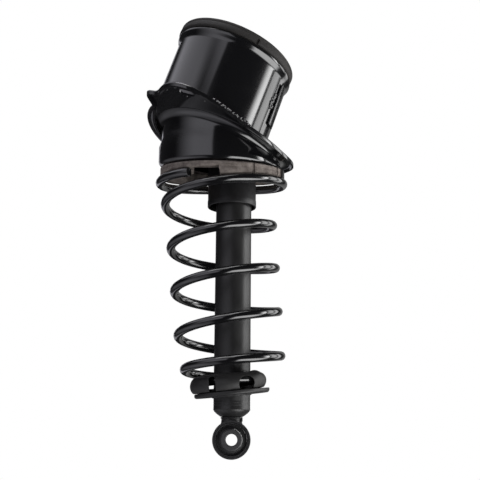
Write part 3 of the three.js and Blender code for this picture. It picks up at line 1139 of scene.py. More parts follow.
@dataclass
class CoilSpring:
    """The coil spring: a tapering, leaning coil between an upper end turn and a lower one."""

    wire: float = 5.6
    step: float = 5
    top: float = 335
    upper: tuple[Station, ...] = (
        (241, 317, -16, 79), (180, 321, -16, 79), (90, 335, -16, 79), (0, 321, -16, 79),
        (-90, 305.5, -16, 77), (-180, 291, -16, 71.5),
    )
    lower: tuple[Station, ...] = (
        (-1620, 83, -2.5, 56), (-1710, 77.5, -3, 46), (-1800, 74.5, -2, 38), (-1950, 68, 0, 36.5),
    )
    free_halves: int = 7
    free_top: float = 267
    half_pitch: float = 27.5
    sag_on_left: float = 4.7
    drift: float = 2.3
    taper: float = 0.6
    free_radius: float = 66
    stations: tuple[Station, ...] = ()

    def __post_init__(self) -> None:
        """Lays the free turns out between the end turns at an even pitch, drift and taper."""
        free = []
        for half in range(self.free_halves):
            height = self.free_top - half * self.half_pitch - (half % 2) * self.sag_on_left
            centre = self.upper[0][2] + half * self.drift
            free.append((-360 - 180 * half, height, centre, self.free_radius - half * self.taper))
        self.stations = (*self.upper, *free, *self.lower)

    def at(self, angle: float) -> tuple[float, float, float]:
        """The wire's height, centre and radius at an unrolled angle in degrees.

        Args:
            angle: The unrolled angle in degrees.

        Returns:
            Height, centre and radius.
        """
        stations = self.stations
        last = len(stations) - 1
        i = min(max(next((k for k, s in enumerate(stations) if s[0] <= angle), last), 1), last)
        p0, p1, p2, p3 = (stations[min(max(i + k, 0), last)] for k in (-2, -1, 0, 1))
        width = p2[0] - p1[0]
        t = (angle - p1[0]) / width
        values = []
        for k in (1, 2, 3):
            leave = 0 if p2[0] == p0[0] else (p2[k] - p0[k]) / (p2[0] - p0[0]) * width
            arrive = 0 if p3[0] == p1[0] else (p3[k] - p1[k]) / (p3[0] - p1[0]) * width
            values.append(
                (2 * t**3 - 3 * t**2 + 1) * p1[k]
                + (t**3 - 2 * t**2 + t) * leave
                + (3 * t**2 - 2 * t**3) * p2[k]
                + (t**3 - t**2) * arrive
            )
        return values[0], values[1], values[2]

    def point(self, angle: float) -> Vector:
        """The wire's middle at an unrolled angle in degrees.

        Args:
            angle: The unrolled angle in degrees.

        Returns:
            The point.
        """
        height, centre, radius = self.at(angle)
        turn = math.radians(angle)
        return Vector((centre + radius * math.cos(turn), radius * math.sin(turn), height))

    def build(self, finishes: Finishes) -> None:
        """Sweeps the wire and reads the stroke; the wire is not made to shorten with it.

        Args:
            finishes: The assembly's finishes.
        """
        first, last = self.stations[0][0], self.stations[-1][0]
        count = round((first - last) / self.step)
        line = [self.point(first + (last - first) * i / count) for i in range(count + 1)]
        wire = Bench.swept("spring_wire", line, self.wire, sides=6)
        Bench.softened(wire, 0.9, 3, angle=60)
        Bench.deliver(wire, Body.HOUSING, "gloss_black", finishes.wire, ["coil_spring"])
        bottom = min(p.z for p in line) - self.wire
        shorten_with_stroke(wire, self.top, bottom)


def shorten_with_stroke(piece: bpy.types.Object, top: float, bottom: float) -> None:
    """Gives a piece its own mesh and reads the damper's stroke; the piece is not made to shorten as the
    damper closes.

    Args:
        piece: The piece.
        top: Height of the end that would stay, in millimetres.
        bottom: Height of the end that would rise by the whole stroke, in millimetres.
    """
    stroke = next(j for j in frame["joints"] if j["name"] == "damper_stroke")
    travel = max(stroke["range"]) / MM if "range" in stroke else 100.0
    1 - travel / (top - bottom)
    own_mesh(piece)


# ------------------------------------------------------------------------------------------------
# Lower eye
# ------------------------------------------------------------------------------------------------
@dataclass
class LowerEye:
    """The welded eye at the bottom with its bonded bush."""

    bolt_hole: float = 7.1
    sleeve: float = 13
    sleeve_half: float = 19
    rubber: float = 18.4
    rubber_half: float = 15.5
    shell: float = 20.3
    outer: float = 23
    half: float = 16
    neck: float = 14
    neck_top: float = 27.2
    weld_height: float = 26.2
    gap: float = 0.3

    def build(self, finishes: Finishes) -> None:
        """Builds the eye, its shell, rubber and sleeve.

        Args:
            finishes: The assembly's finishes.
        """
        self._ring(finishes)
        half, shell = self.half, self.shell
        tube = Bench.turned("bush_shell_tube", band(self.rubber + 0.3, shell, -half, half))
        tube.data.transform(LAY_ALONG_Y)
        Bench.softened(tube, 0.5)
        Bench.deliver(tube, Body.DAMPER, "zinc_steel", finishes.eye, ["bush_shell"])
        self._rubber(finishes)
        self._sleeve(finishes)

    def _ring(self, finishes: Finishes) -> None:
        """The eye's ring and neck with the weld round the neck.

        Args:
            finishes: The assembly's finishes.
        """
        bore = self.shell + self.gap
        ring = Bench.turned("eye_loop", band(5, self.outer, -self.half, self.half), 128)
        ring.data.transform(LAY_ALONG_Y)
        neck_profile = [
            (self.neck, 4), (self.neck, 17), (self.neck - 1, 20), (self.neck - 1.5, 23),
            (self.neck - 1.3, self.neck_top),
        ]
        neck = Bench.turned("eye_neck", neck_profile, 64, Ends.CAPPED)
        Bench.united(ring, neck)
        way = Bench.turned("bore", [(bore, -40), (bore, 40)], 128, Ends.CAPPED)
        way.data.transform(LAY_ALONG_Y)
        Bench.cut(ring, way)
        Bench.softened(ring, 0.7, 3)
        girth = self.neck - 1.2
        bead = ring_of(girth, self.weld_height, 72)
        weld = Bench.swept("eye_weld", bead, bead_radii(72, 0.8, 0.1, 0.08, seed=5), 4, True)
        spot = Bench.lobe("weld_spot", (1.7, 1.6, 2.8), Matrix.Translation((self.neck - 2.2, -6.5, 23.5)))
        Bench.gathered(ring, weld, spot)
        Bench.deliver(ring, Body.DAMPER, "gloss_black", finishes.eye, ["eye_ring"])

    def _rubber(self, finishes: Finishes) -> None:
        """The bush's rubber with its ringed faces.

        Args:
            finishes: The assembly's finishes.
        """
        inner, outer, half = self.sleeve + self.gap, self.rubber, self.rubber_half
        face = [
            (inner, half), (inner + 0.9, half), (inner + 1.5, half - 0.7), (inner + 2.2, half - 1.9),
            (inner + 3.2, half - 2.3), (inner + 3.9, half - 1.6), (outer - 0.5, half - 0.5),
            (outer, half - 0.9),
        ]
        profile = [(r, -h) for r, h in face] + [(r, h) for r, h in reversed(face)]
        rubber = Bench.turned("bush_rubber_ring", profile, 128, place=LAY_ALONG_Y)
        Bench.deliver(rubber, Body.DAMPER, "black_rubber", finishes.bush, ["bush_rubber"], smooth=50)

    def _sleeve(self, finishes: Finishes) -> None:
        """The bolt sleeve with serrated end faces.

        Args:
            finishes: The assembly's finishes.
        """
        bolt, outer, half = self.bolt_hole, self.sleeve, self.sleeve_half
        face = [
            (bolt, half - 0.8), (bolt + 0.8, half), (bolt + 1.6, half), (outer - 1.3, half),
            (outer, half - 1.1),
        ]
        profile = [(r, -h) for r, h in reversed(face)] + face
        sleeve = Bench.turned("bush_bolt_sleeve", profile, 120, place=LAY_ALONG_Y)
        Bench.deliver(sleeve, Body.BUSH, "bare_steel", finishes.sleeve, ["bush_sleeve"], smooth=30)


# ------------------------------------------------------------------------------------------------
# Damper
# ------------------------------------------------------------------------------------------------
@dataclass
class Damper:
    """The damper's visible outside: base cap, tube with its crimps, top cap and dust tube."""

    radius: float = 22.5
    wall: float = 1.8
    bottom: float = 36
    top: float = 304
    dome: float = 8.5
    crimps: tuple[float, ...] = (40.2, 43.2, 46.2)
    dust_x: float = -2.5
    dust_wall: float = 2.2
    gap: float = 0.3

    def build(self, finishes: Finishes) -> None:
        """Builds the outside pieces.

        Args:
            finishes: The assembly's finishes.
        """
        self._base(finishes)
        self._tube(finishes)
        self._cap(finishes)
        self._dust_tube(finishes)

    def _base(self, finishes: Finishes) -> None:
        """The rounded base cap.

        Args:
            finishes: The assembly's finishes.
        """
        low = self.bottom - self.dome
        cone = [
            (13.2, low), (14.6, low + 0.7), (17.2, low + 2.5), (19.6, low + 4.4), (21.3, low + 6.2),
            (22.2, low + 7.6),
        ]
        profile = [(3, low), *cone, (self.radius, self.bottom - self.gap), (3, self.bottom - self.gap)]
        base = Bench.turned("damper_base", profile, 112)
        bead = Bench.swept("base_seam", ring_of(self.radius, self.bottom, 112), 0.3, 3, True)
        Bench.gathered(base, bead)
        Bench.deliver(base, Body.DAMPER, "satin_black", finishes.tube, ["base_cap"], smooth=50)

    def _tube(self, finishes: Finishes) -> None:
        """The reserve tube with faint crimp rings near its foot.

        Args:
            finishes: The assembly's finishes.
        """
        outside = [(self.radius, self.bottom)]
        for ring in self.crimps:
            outside += [
                (self.radius, ring - 0.9), (self.radius - 0.12, ring - 0.3),
                (self.radius - 0.12, ring + 0.3), (self.radius, ring + 0.9),
            ]
        inner = self.radius - self.wall
        profile = [(inner, self.bottom), *outside, (self.radius, self.top), (inner, self.top)]
        tube = Bench.turned("damper_outer_tube", profile, 128)
        Bench.deliver(tube, Body.DAMPER, "satin_black", finishes.tube, ["damper_tube"], smooth=35)

    def _cap(self, finishes: Finishes) -> None:
        """The pressed cap round the top of the tube.

        Args:
            finishes: The assembly's finishes.
        """
        low, high = extent("tube_cap")
        outer, inner = high.x, self.radius + self.gap
        corner = arc((outer - 2.5, high.z - 2.5), 2.5, 0, 90, 6)
        profile = [
            (inner, low.z), (outer, low.z), *corner, (7.7, high.z), (7.7, self.top + 2),
            (inner, self.top + 2),
        ]
        cap = Bench.turned("damper_top_cap", profile, 96)
        Bench.softened(cap, 0.4)
        Bench.deliver(cap, Body.DAMPER, "satin_black", finishes.satin, ["tube_cap"])

    def _dust_tube(self, finishes: Finishes) -> None:
        """The dust tube with its turned foot.

        Args:
            finishes: The assembly's finishes.
        """
        low, high = extent("dust_tube")
        outer = (high.x - low.x) / 2
        inner = outer - self.dust_wall
        foot = arc((outer - 1.1, low.z + 1.1), 1.1, -90, 0, 4)
        profile = [
            (inner, low.z + 0.6), (inner + 0.6, low.z), *foot, (outer, low.z + 8),
            (outer - 0.35, low.z + 9), (outer, high.z), (inner, high.z),
        ]
        tube = Bench.turned("dust_cover", profile, 128, place=Matrix.Translation((self.dust_x, 0, 0)))
        Bench.deliver(tube, Body.HOUSING, "satin_black", finishes.dust_tube, ["dust_tube"], smooth=40)


@dataclass
class LowerSeat:
    """The dished spring seat and the rubber sleeve that holds the wire's last turn."""

    radius: float = 46
    height: float = 56
    wall: float = 3
    tilt: float = -6
    lean: float = 1.8
    tube: float = 22.8
    pad_radius: float = 49
    pad_x: float = -2.5

    def plane(self) -> TiltedPlane:
        """The seat's plane."""
        return TiltedPlane((0, 0, self.height), self.tilt, self.lean)

    def build(self, finishes: Finishes, spring: CoilSpring) -> None:
        """Builds the seat and the pad."""
        self._seat(finishes)
        self._pad(finishes, spring)

    def _seat(self, finishes: Finishes) -> None:
        """The pressed seat with a collar welded to the tube.

        Args:
            finishes: The assembly's finishes.
        """
        plane = self.plane()
        tube, wall, edge = self.tube, self.wall, self.radius
        profile = [
            (tube, -2), (tube + 4, -wall), *arc((edge - 3, 0), wall, -90, 0, 6), (edge, 1.9),
            (edge - 0.7, 2.5), (edge - 1.5, 2.3), *arc((edge - 3.6, 2.2), 2.2, 0, -90, 4),
            (tube + wall + 3, 0), *arc((tube + wall + 3, 3), 3, -90, -180, 4), (tube + wall, 6.2),
            (tube + wall - 1, 7), (tube, 7),
        ]
        seat = Bench.turned("spring_dish", profile, 128)
        Bench.moulded(seat, lambda v: Vector((v.x, v.y, v.z + plane.height(v.x, v.y))))
        line = ring_of(tube, 0, 80)
        for point in line:
            point.z = plane.height(point.x, point.y) - 2.6
        weld = Bench.swept("seat_weld", line, bead_radii(80, 1.5, 0.3, 0.2, seed=11), 4, True)
        Bench.gathered(seat, weld)
        Bench.deliver(seat, Body.DAMPER, "satin_black", finishes.satin, ["spring_seat"], smooth=45)

    def _pad(self, finishes: Finishes, spring: CoilSpring) -> None:
        """The rubber sleeve: a bulging wall over the wire with two open windows at the front.

        Args:
            finishes: The assembly's finishes.
            spring: The coil spring.
        """
        plane = self.plane()
        inner = self.tube + self.wall + 0.4 - self.pad_x
        mid, bulge = self.pad_radius - 10.8, 10.8
        outside = arc((mid, 0), bulge, -52, 112, 16)
        inside = arc((mid, 0), bulge - 3.2, 112, -20, 12)
        low = outside[0][1]
        profile = [(inner, low), *outside, *inside, (mid + 4, -5.2), (inner, -5.2)]
        pad = Bench.turned("seat_rubber", profile, 144)
        top = max(h for _, h in profile)

        def press(vertex: Vector) -> Vector:
            """Follows the wire's height and folds the sleeve open where the wire leaves it.

            Args:
                vertex: A vertex's place.

            Returns:
                The vertex's new place.
            """
            turn = math.degrees(math.atan2(vertex.y, vertex.x))
            radius = math.hypot(vertex.x, vertex.y)
            cover = self.cover(turn)
            base = plane.height(vertex.x + self.pad_x, vertex.y) + self.wall + 0.3
            wire = self.wire_height(turn, spring)
            lift = max(wire - base, bulge * 0.79)
            share = (vertex.z - low) / (top - low)
            peak = 2.4 * math.exp(-(((turn + 40) / 11) ** 2)) * min(max((share - 0.35) / 0.4, 0), 1)
            full = base + share * (lift + bulge - 3.4) + peak
            flat = base + min(share, 0.25) * 12
            height = flat + (full - flat) * cover
            keep = inner + (radius - inner) * (1 - 0.26 * math.exp(-(((turn - 4) / 26) ** 2)))
            return Vector((self.pad_x + keep * vertex.x / radius, keep * vertex.y / radius, height))

        Bench.moulded(pad, press)
        windows = []
        for x, z, wide, tall, lean in ((18, 65.4, 18, 19, 12), (-23, 63.2, 8, 20, -4)):
            window = Bench.block("window", (wide, 44, tall), Matrix.Rotation(math.radians(lean), 4, "Y"))
            Bench.softened(window, wide * 0.46, 8, angle=60)
            window.data.transform(Matrix.Translation((x, -52, z)))
            windows.append(window)
        Bench.cut(pad, *windows)
        Bench.softened(pad, 0.5, 2, angle=45)
        Bench.deliver(pad, Body.DAMPER, "black_rubber", finishes.rubber, ["lower_pad"], smooth=50)

    @staticmethod
    def cover(turn: float) -> float:
        """How far the sleeve wraps the wire in a direction: whole in front, none behind.

        Args:
            turn: A direction round the axis, in radians.

        Returns:
            From 0, open, to 1, whole.
        """
        away = abs((turn + 75 + 180) % 360 - 180)
        share = min(max((128 - away) / 26, 0), 1)
        return share * share * (3 - 2 * share)

    @staticmethod
    def wire_height(turn: float, spring: CoilSpring) -> float:
        """Height of the wire's middle over the pad in a direction.

        Args:
            turn: A direction round the axis, in radians.
            spring: The coil spring.

        Returns:
            The height.
        """
        last = spring.stations[-1][0]
        unrolled = last + ((turn - last + 60) % 360) - 60
        return spring.at(min(max(unrolled, last), last + 250))[0]


# ------------------------------------------------------------------------------------------------
# Upper housing
# ------------------------------------------------------------------------------------------------
@dataclass
class UpperPad:
    """The chalky rubber between the cup's floor and the spring's end turn."""

    centre_x: float = -16
    overhang: float = 1.5
    inner: float = 50
    step_at: float = 268.5
    under_floor: float = 2.8
    gap: float = 0.8
    grooves: tuple[Point, ...] = ((300.5, 4.2, 4.4), (333, 2.2, 3), (341, 3.2, 2.6))
    recess_size: Point = (48, 70, 40)
    pocket_size: Point = (32, 44, 60)
    tab_size: Point = (4, 9, 19)
    tab_turn: float = -14

    def build(self, finishes: Finishes, form: HousingForm, spring: CoilSpring) -> None:
        """Builds the pad with its step, grooves and stepped rim.

        Args:
            finishes: The assembly's finishes.
            form: The housing's shared shape.
            spring: The coil spring.
        """
        outer = form.cup_radius + self.overhang
        inner = self.inner
        profile = [
            (inner, 0), (inner + 4, 0), (outer - 11, 0), (outer - 1.4, 0), (outer, 0.12), (outer, 0.5),
            (outer - 0.4, 0.56), (outer, 0.62), (outer, 0.9), (outer - 1.2, 1), (outer - 10, 1), (inner, 1),
        ]
        pad = Bench.turned("spring_pad", profile, 180)
        first = spring.stations[0][0]

        def press(vertex: Vector) -> Vector:
            """Fills the room between the floor and the wire.

            Args:
                vertex: A vertex's place.

            Returns:
                The vertex's new place.
            """
            turn = math.degrees(math.atan2(vertex.y, vertex.x))
            unrolled = (turn - self.step_at) % 360 + self.step_at - 360
            x, y = vertex.x + self.centre_x, vertex.y
            top = form.floor.height(x, y) - self.under_floor
            bottom = spring.at(min(unrolled, first))[0] + spring.wire + self.gap
            return Vector((x, y, bottom + vertex.z * (top - bottom)))

        Bench.moulded(pad, press)
        grooves = []
        for degrees, width, deep in self.grooves:
            turn = math.radians(degrees)
            place = Matrix.Translation(
                (self.centre_x + outer * math.cos(turn), outer * math.sin(turn), 315)
            )
            grooves.append(Bench.block("groove", (deep, width, 90), place @ Matrix.Rotation(turn, 4, "Z")))
        recess = Bench.block(
            "recess", self.recess_size, Matrix.Translation((self.centre_x - 26, -outer + 20, 303.4))
        )
        pocket = Bench.block(
            "pocket", self.pocket_size, Matrix.Translation((self.centre_x - 18, -outer + 34.5, 306))
        )
        Bench.cut(pad, *grooves, recess, pocket, tube_way())
        Bench.softened(pad, 0.7, 2, angle=40)
        Bench.deliver(pad, Body.HOUSING, "chalky_rubber", finishes.chalk, ["upper_pad"], smooth=35)
        turned = Matrix.Rotation(math.radians(self.tab_turn), 4, "Z")
        place = Matrix.Translation((self.centre_x, 0, 0)) @ turned @ Matrix.Translation(
            (outer + 0.6, 0, 324.5)
        )
        tab = Bench.block("pad_tab", self.tab_size, place)
        Bench.softened(tab, 1.3, 4, angle=60)
        Bench.deliver(tab, Body.HOUSING, "black_rubber", finishes.rubber)


@dataclass
class LowerCup:
    """The housing's lower cup: a dished floor, a rounded corner and a wall that flows into the brim."""

    hole: float = 34
    corner: float = 8
    flare: float = 9
    waist: float = 0.9
    shoulder: float = 16
    swell: float = 2.4
    seam: float = 0.25

    def build(self, finishes: Finishes, form: HousingForm) -> None:
        """Presses the cup between its floor and the brim.

        Args:
            finishes: The assembly's finishes.
            form: The housing's shared shape.
        """
        radius, sheet, corner, flare = form.cup_radius, form.sheet, self.corner, self.flare
        hang = 100.0
        under = hang - sheet - self.seam
        drawn = radius - self.waist
        foot = under - flare
        outside = [
            (self.hole, -sheet), (radius - corner - 20, -sheet),
            *arc((radius - corner, corner - sheet), corner, -90, 0, 8), (radius, 20), (radius, 35),
            (radius - 0.1, foot - self.shoulder), (radius - 0.5, foot - 8), (drawn, foot - 1.5),
            *arc((drawn + flare, foot), flare, 180, 98, 10)[1:],
        ]
        inside = [
            (drawn + flare - 2, under), (drawn - sheet - 1, under), (drawn - sheet, foot - 1.5),
            (radius - sheet - 0.8, foot - 14), (radius - sheet, foot - self.shoulder), (radius - sheet, 35),
            (radius - sheet, corner), *arc((radius - corner, corner), corner - sheet, 0, -90, 5)[1:],
            (self.hole, 0),
        ]
        cup = Bench.turned("housing_cup", outside + inside, 180)
        drop = flare + self.shoulder

        def press(vertex: Vector) -> Vector:
            """Hangs the upper heights from the brim and stands the lower ones on the floor.

            Args:
                vertex: A vertex's place.

            Returns:
                The vertex's new place.
            """
            turn = math.atan2(vertex.y, vertex.x)
            out = math.hypot(vertex.x, vertex.y)
            if vertex.z < hang / 2:
                out += self.swell * max(0.0, -math.cos(turn)) * (out / radius)
            if out > drawn and vertex.z > foot:
                room_out = form.brim_radius(turn) - radius - 3.2
                out = drawn + (out - drawn) * min(1.0, max(room_out + self.waist, 1.5) / flare)
            x, y = form.floor.centre[0] + out * math.cos(turn), out * math.sin(turn)
            floor, top = form.floor.height(x, y), form.brim_height(x, y)
            squeeze = min(1.0, (top - floor - sheet - self.seam + 0.5) / (corner + drop + 1))
            if vertex.z > hang / 2:
                height = top - sheet - self.seam - (under - vertex.z) * squeeze
            elif vertex.z > 15:
                low, high = floor + corner * squeeze, top - sheet - self.seam - drop * squeeze
                height = low + (high - low) * (0.33 if vertex.z < 30 else 0.66)
            elif vertex.z > 0 or squeeze < 1:
                height = floor - sheet + (vertex.z + sheet) * squeeze
            else:
                height = floor + vertex.z
            return Vector((x, y, height))

        Bench.moulded(cup, press)
        Bench.cut(cup, tube_way())
        Bench.deliver(cup, Body.HOUSING, "gloss_black", finishes.gloss, ["lower_cup"], smooth=50)


@dataclass
class Brim:
    """The oblique brim with a rolled edge, an ear, bolt lugs, an oblong slot and weld studs."""

    hole: float = 47
    edge: float = 100
    lip: float = 6.5
    roll: float = 3.2
    slot: Pair = (249.5, 36)
    slot_size: Pair = (19, 9)
    slot_turn: float = 12
    bolts: tuple[Pair, ...] = ((56, 28.5), (130.5, 26))
    bolt_hole: float = 5.2
    studs: tuple[tuple[float, float, float], ...] = (
        (244, 44, 2.3), (236, 38, 1.5), (248, 29, 1.8), (260, 28, 1.7)
    )

    def build(self, finishes: Finishes, form: HousingForm) -> None:
        """Presses the brim and cuts its slot and holes.

        Args:
            finishes: The assembly's finishes.
            form: The housing's shared shape.
        """
        edge, sheet, roll = self.edge, form.sheet, self.roll
        steps = [54, 62, 70, 78, 86, 92]
        outer = [(edge - roll, 0), *arc((edge - roll, -roll), roll, 80, 0, 6), (edge, -self.lip)]
        inner_roll = max(roll - sheet, 0.8)
        under = [
            (edge - sheet, -self.lip), (edge - sheet, -sheet - inner_roll),
            *arc((edge - sheet - inner_roll, -sheet - inner_roll), inner_roll, 0, 90, 3)[1:],
        ]
        profile = [
            (self.hole, 0), *[(r, 0) for r in steps], *outer, *under,
            *[(r, -sheet) for r in reversed(steps)], (self.hole, -sheet),
        ]
        brim = Bench.turned("housing_brim", profile, 360)
        flat = edge - 2 * roll

        def press(vertex: Vector) -> Vector:
            """Stretches the disc to the outline and lays it on the brim's surface.

            Args:
                vertex: A vertex's place.

            Returns:
                The vertex's new place.
            """
            turn = math.atan2(vertex.y, vertex.x)
            radius = math.hypot(vertex.x, vertex.y)
            rim = form.brim_radius(turn)
            if radius <= flat:
                radius = self.hole + (radius - self.hole) / (flat - self.hole) * (
                    rim - 2 * roll - self.hole
                )
            else:
                radius = rim - (edge - radius)
            x = form.brim.centre[0] + radius * math.cos(turn)
            y = form.brim.centre[1] + radius * math.sin(turn)
            return Vector((x, y, form.brim_height(x, y) + vertex.z))

        Bench.moulded(brim, press)
        Bench.cut(brim, *self._tools(form))
        Bench.deliver(brim, Body.HOUSING, "gloss_black", finishes.gloss, ["brim_plate"], smooth=38)
        self._studs(finishes, form)

    def _tools(self, form: HousingForm) -> list[bpy.types.Object]:
        """The slot's and the holes' cutting tools.

        Args:
            form: The housing's shared shape.

        Returns:
            The tools.
        """
        length, width = self.slot_size
        place = form.around(*self.slot)
        centre = Matrix.Translation((form.brim.centre[0] + place.x, place.y, 400))
        turned = centre @ Matrix.Rotation(-math.radians(self.slot_turn), 4, "Z")
        slot = Bench.block("slot", (length, width, 200), turned)
        Bench.softened(slot, width / 2 - 0.05, 8, angle=60)
        tools = [slot]
        for bolt in self.bolts:
            where = form.around(*bolt)
            at = Matrix.Translation((form.brim.centre[0] + where.x, where.y, 0))
            bore = [(self.bolt_hole, 200), (self.bolt_hole, 500)]
            tools.append(Bench.turned("bolt_way", bore, 48, Ends.CAPPED, at))
        tools.append(tube_way())
        return tools

    def _studs(self, finishes: Finishes, form: HousingForm) -> None:
        """The small studs on the brim's underside.

        Args:
            finishes: The assembly's finishes.
            form: The housing's shared shape.
        """
        made = []
        for degrees, reach, size in self.studs:
            place = form.around(degrees, reach)
            x, y = form.brim.centre[0] + place.x, place.y
            normal = form.brim_normal(x, y)
            turned = normal.to_track_quat("Z", "Y").to_matrix().to_4x4()
            foot = Matrix.Translation(Vector((x, y, form.brim_height(x, y) - form.sheet))) @ turned
            made.append(Bench.lobe("stud", (size, size * 0.8, size * 0.75), foot, 8))
        studs = Bench.gathered(*made)
        studs.name = "brim_studs"
        Bench.deliver(studs, Body.HOUSING, "gloss_black", finishes.weld)


@dataclass
class Canister:
    """The tilted canister that stands on the brim, with its seam weld, side weld, strap and clip slot."""

    flange: float = 5.5
    seam_radius: float = 1.3
    seam_from: float = 266
    seam_to: float = 350
    strap_width: float = 16
    strap_thick: float = 2.5
    strap_top: float = -34
    strap_bottom: float = -92
    strap_turn: float = -16
    rubber_cover: float = 3
    seam_steps: int = 150
    seam_drops: int = 30
    seam_drop_turns: Pair = (270, 318)
    drop_lean: float = 0.35
    edge_drops: int = 34
    edge_drop_turns: Pair = (267, 292)
    edge_drop_lean: float = 0.45
    side_drops: int = 22
    clip_size: Point = (12, 3.2, 7.5)
    clip_turn: float = -27
    clip_height: float = -66

    def build(self, finishes: Finishes, form: HousingForm) -> None:
        """Builds the wall, the welds and the strap.

        Args:
            finishes: The assembly's finishes.
            form: The housing's shared shape.
        """
        self._wall(finishes, form)
        self._seam(finishes, form)
        self._strap(finishes, form)

    def _wall(self, finishes: Finishes, form: HousingForm) -> None:
        """The rolled wall: a shoulder under the rim, and a foot flange that lies on the brim.

        Args:
            finishes: The assembly's finishes.
            form: The housing's shared shape.
        """
        outer, sheet, flange = form.can_radius, form.sheet, self.flange
        hang, stand = 100.0, -100.0
        foot = [
            (outer, stand + flange + 2), *arc((outer + flange, stand + flange + 1.4), flange, 180, 262, 7)
        ]
        profile = [
            (outer + flange, stand), *reversed(foot), (outer, hang - 23), (outer + 0.5, hang - 20.5),
            (outer + 1.6, hang - 18), (outer + 2.9, hang - 15.6), (outer + 3.6, hang - 13.8),
            (outer + 3.6, hang - 12.2), (outer + 2.4, hang - 11), (outer, hang - 10.6), (outer, hang),
            (outer - sheet, hang), (outer - sheet, hang - 25), (outer - sheet, stand),
        ]
        wall = Bench.turned("housing_can", profile, 240)
        lean = form.can_top.matrix()
        axis = form.can_top.normal
        rim_point = Vector(form.rim_top.centre) - form.rim_top.normal * self.rubber_cover

        def press(vertex: Vector) -> Vector:
            """Hangs the upper heights from the rim's plane and stands the lower ones on the brim.

            Args:
                vertex: A vertex's place.

            Returns:
                The vertex's new place.
            """
            turn, radius = math.atan2(vertex.y, vertex.x), math.hypot(vertex.x, vertex.y)
            if vertex.z < 0:
                return form.can_wall_on_brim(turn, radius) + axis * (vertex.z - stand + 0.1)
            base = lean @ Vector((vertex.x, vertex.y, 0))
            gap = (rim_point - base).dot(form.rim_top.normal) / axis.dot(form.rim_top.normal)
            return base + axis * (gap + vertex.z - hang)

        Bench.moulded(wall, press)
        turned = lean @ Matrix.Rotation(math.radians(self.clip_turn), 4, "Z")
        place = turned @ Matrix.Translation((outer, 0, self.clip_height))
        slot = Bench.block("clip_slot", self.clip_size, place)
        Bench.softened(slot, 1.2, 4, angle=60)
        Bench.cut(wall, slot)
        Bench.softened(wall, 0.35, 2, angle=50)
        Bench.deliver(wall, Body.HOUSING, "gloss_black", finishes.gloss, ["canister"], smooth=38)

    def _seam(self, finishes: Finishes, form: HousingForm) -> None:
        """The weld where the wall stands on the brim, coarse at the front.

        Args:
            finishes: The assembly's finishes.
            form: The housing's shared shape.
        """
        rng = random.Random(23)
        line, radii = [], []
        for i in range(self.seam_steps + 1):
            turn = math.radians(self.seam_from + (self.seam_to - self.seam_from) * i / self.seam_steps)
            point = form.can_wall_on_brim(turn, form.can_radius + self.flange)
            line.append(point + Vector((0, 0, -0.6)))
            radii.append(self.seam_radius * (0.8 + 0.4 * rng.random()) + 0.3 * math.sin(i * 0.9))
        seam = Bench.swept("seam_weld", line, radii, 4)
        drops = []
        for _ in range(self.seam_drops):
            turn = math.radians(rng.uniform(*self.seam_drop_turns))
            point = form.can_wall_on_brim(turn, form.can_radius + rng.uniform(1.5, self.flange))
            size = rng.uniform(0.9, 2.2)
            place = Matrix.Translation(point + Vector((0, rng.uniform(-0.5, 0.3), rng.uniform(0.6, 2.4))))
            place = place @ Matrix.Rotation(self.drop_lean, 4, "Y")
            drops.append(Bench.lobe("drop", (size * 1.3, size * 0.8, size * 0.7), place, 6))
        for _ in range(self.edge_drops):
            turn = math.radians(rng.uniform(*self.edge_drop_turns))
            reach = form.brim_radius(turn) - rng.uniform(0.3, 2.6)
            x, y = form.brim.centre[0] + reach * math.cos(turn), reach * math.sin(turn)
            size = rng.uniform(1.4, 3)
            place = Matrix.Translation((x, y, form.brim_height(x, y) + rng.uniform(-1.2, 0.8)))
            place = place @ Matrix.Rotation(self.edge_drop_lean, 4, "Y")
            drops.append(Bench.lobe("drop", (size * 1.5, size * 0.7, size * 0.7), place, 6))
        Bench.gathered(seam, *drops)
        Bench.deliver(seam, Body.HOUSING, "gloss_black", finishes.weld, smooth=60)

    def _strap(self, finishes: Finishes, form: HousingForm) -> None:
        """The bent strap down the low side with the ragged weld that holds it.

        Args:
            finishes: The assembly's finishes.
            form: The housing's shared shape.
        """
        middle = (self.strap_top + self.strap_bottom) / 2
        length = self.strap_top - self.strap_bottom
        turned = form.can_top.matrix() @ Matrix.Rotation(math.radians(self.strap_turn), 4, "Z")
        place = turned @ Matrix.Translation((form.can_radius + self.strap_thick / 2 + 0.3, 0, middle))
        strap = Bench.block("side_strap", (self.strap_thick, self.strap_width, length), place)
        down = -form.brim.normal
        Bench.trimmed(strap, Vector(form.brim.centre) + down * 0.5, down)
        Bench.softened(strap, 0.8, 3, angle=50)
        rng = random.Random(31)
        drops = []
        for i in range(self.side_drops):
            around, along = self.strap_turn - 8 - rng.uniform(0, 5), -52 - i * 1.0
            at = form.can_top.matrix() @ Matrix.Rotation(math.radians(around), 4, "Z")
            size = rng.uniform(1.3, 2.6)
            place = at @ Matrix.Translation((form.can_radius + 0.4, 0, along))
            drops.append(Bench.lobe("drop", (size * 0.6, size, size), place, 6))
        Bench.gathered(strap, *drops)
        Bench.deliver(strap, Body.HOUSING, "gloss_black", finishes.weld, ["strap"], smooth=50)


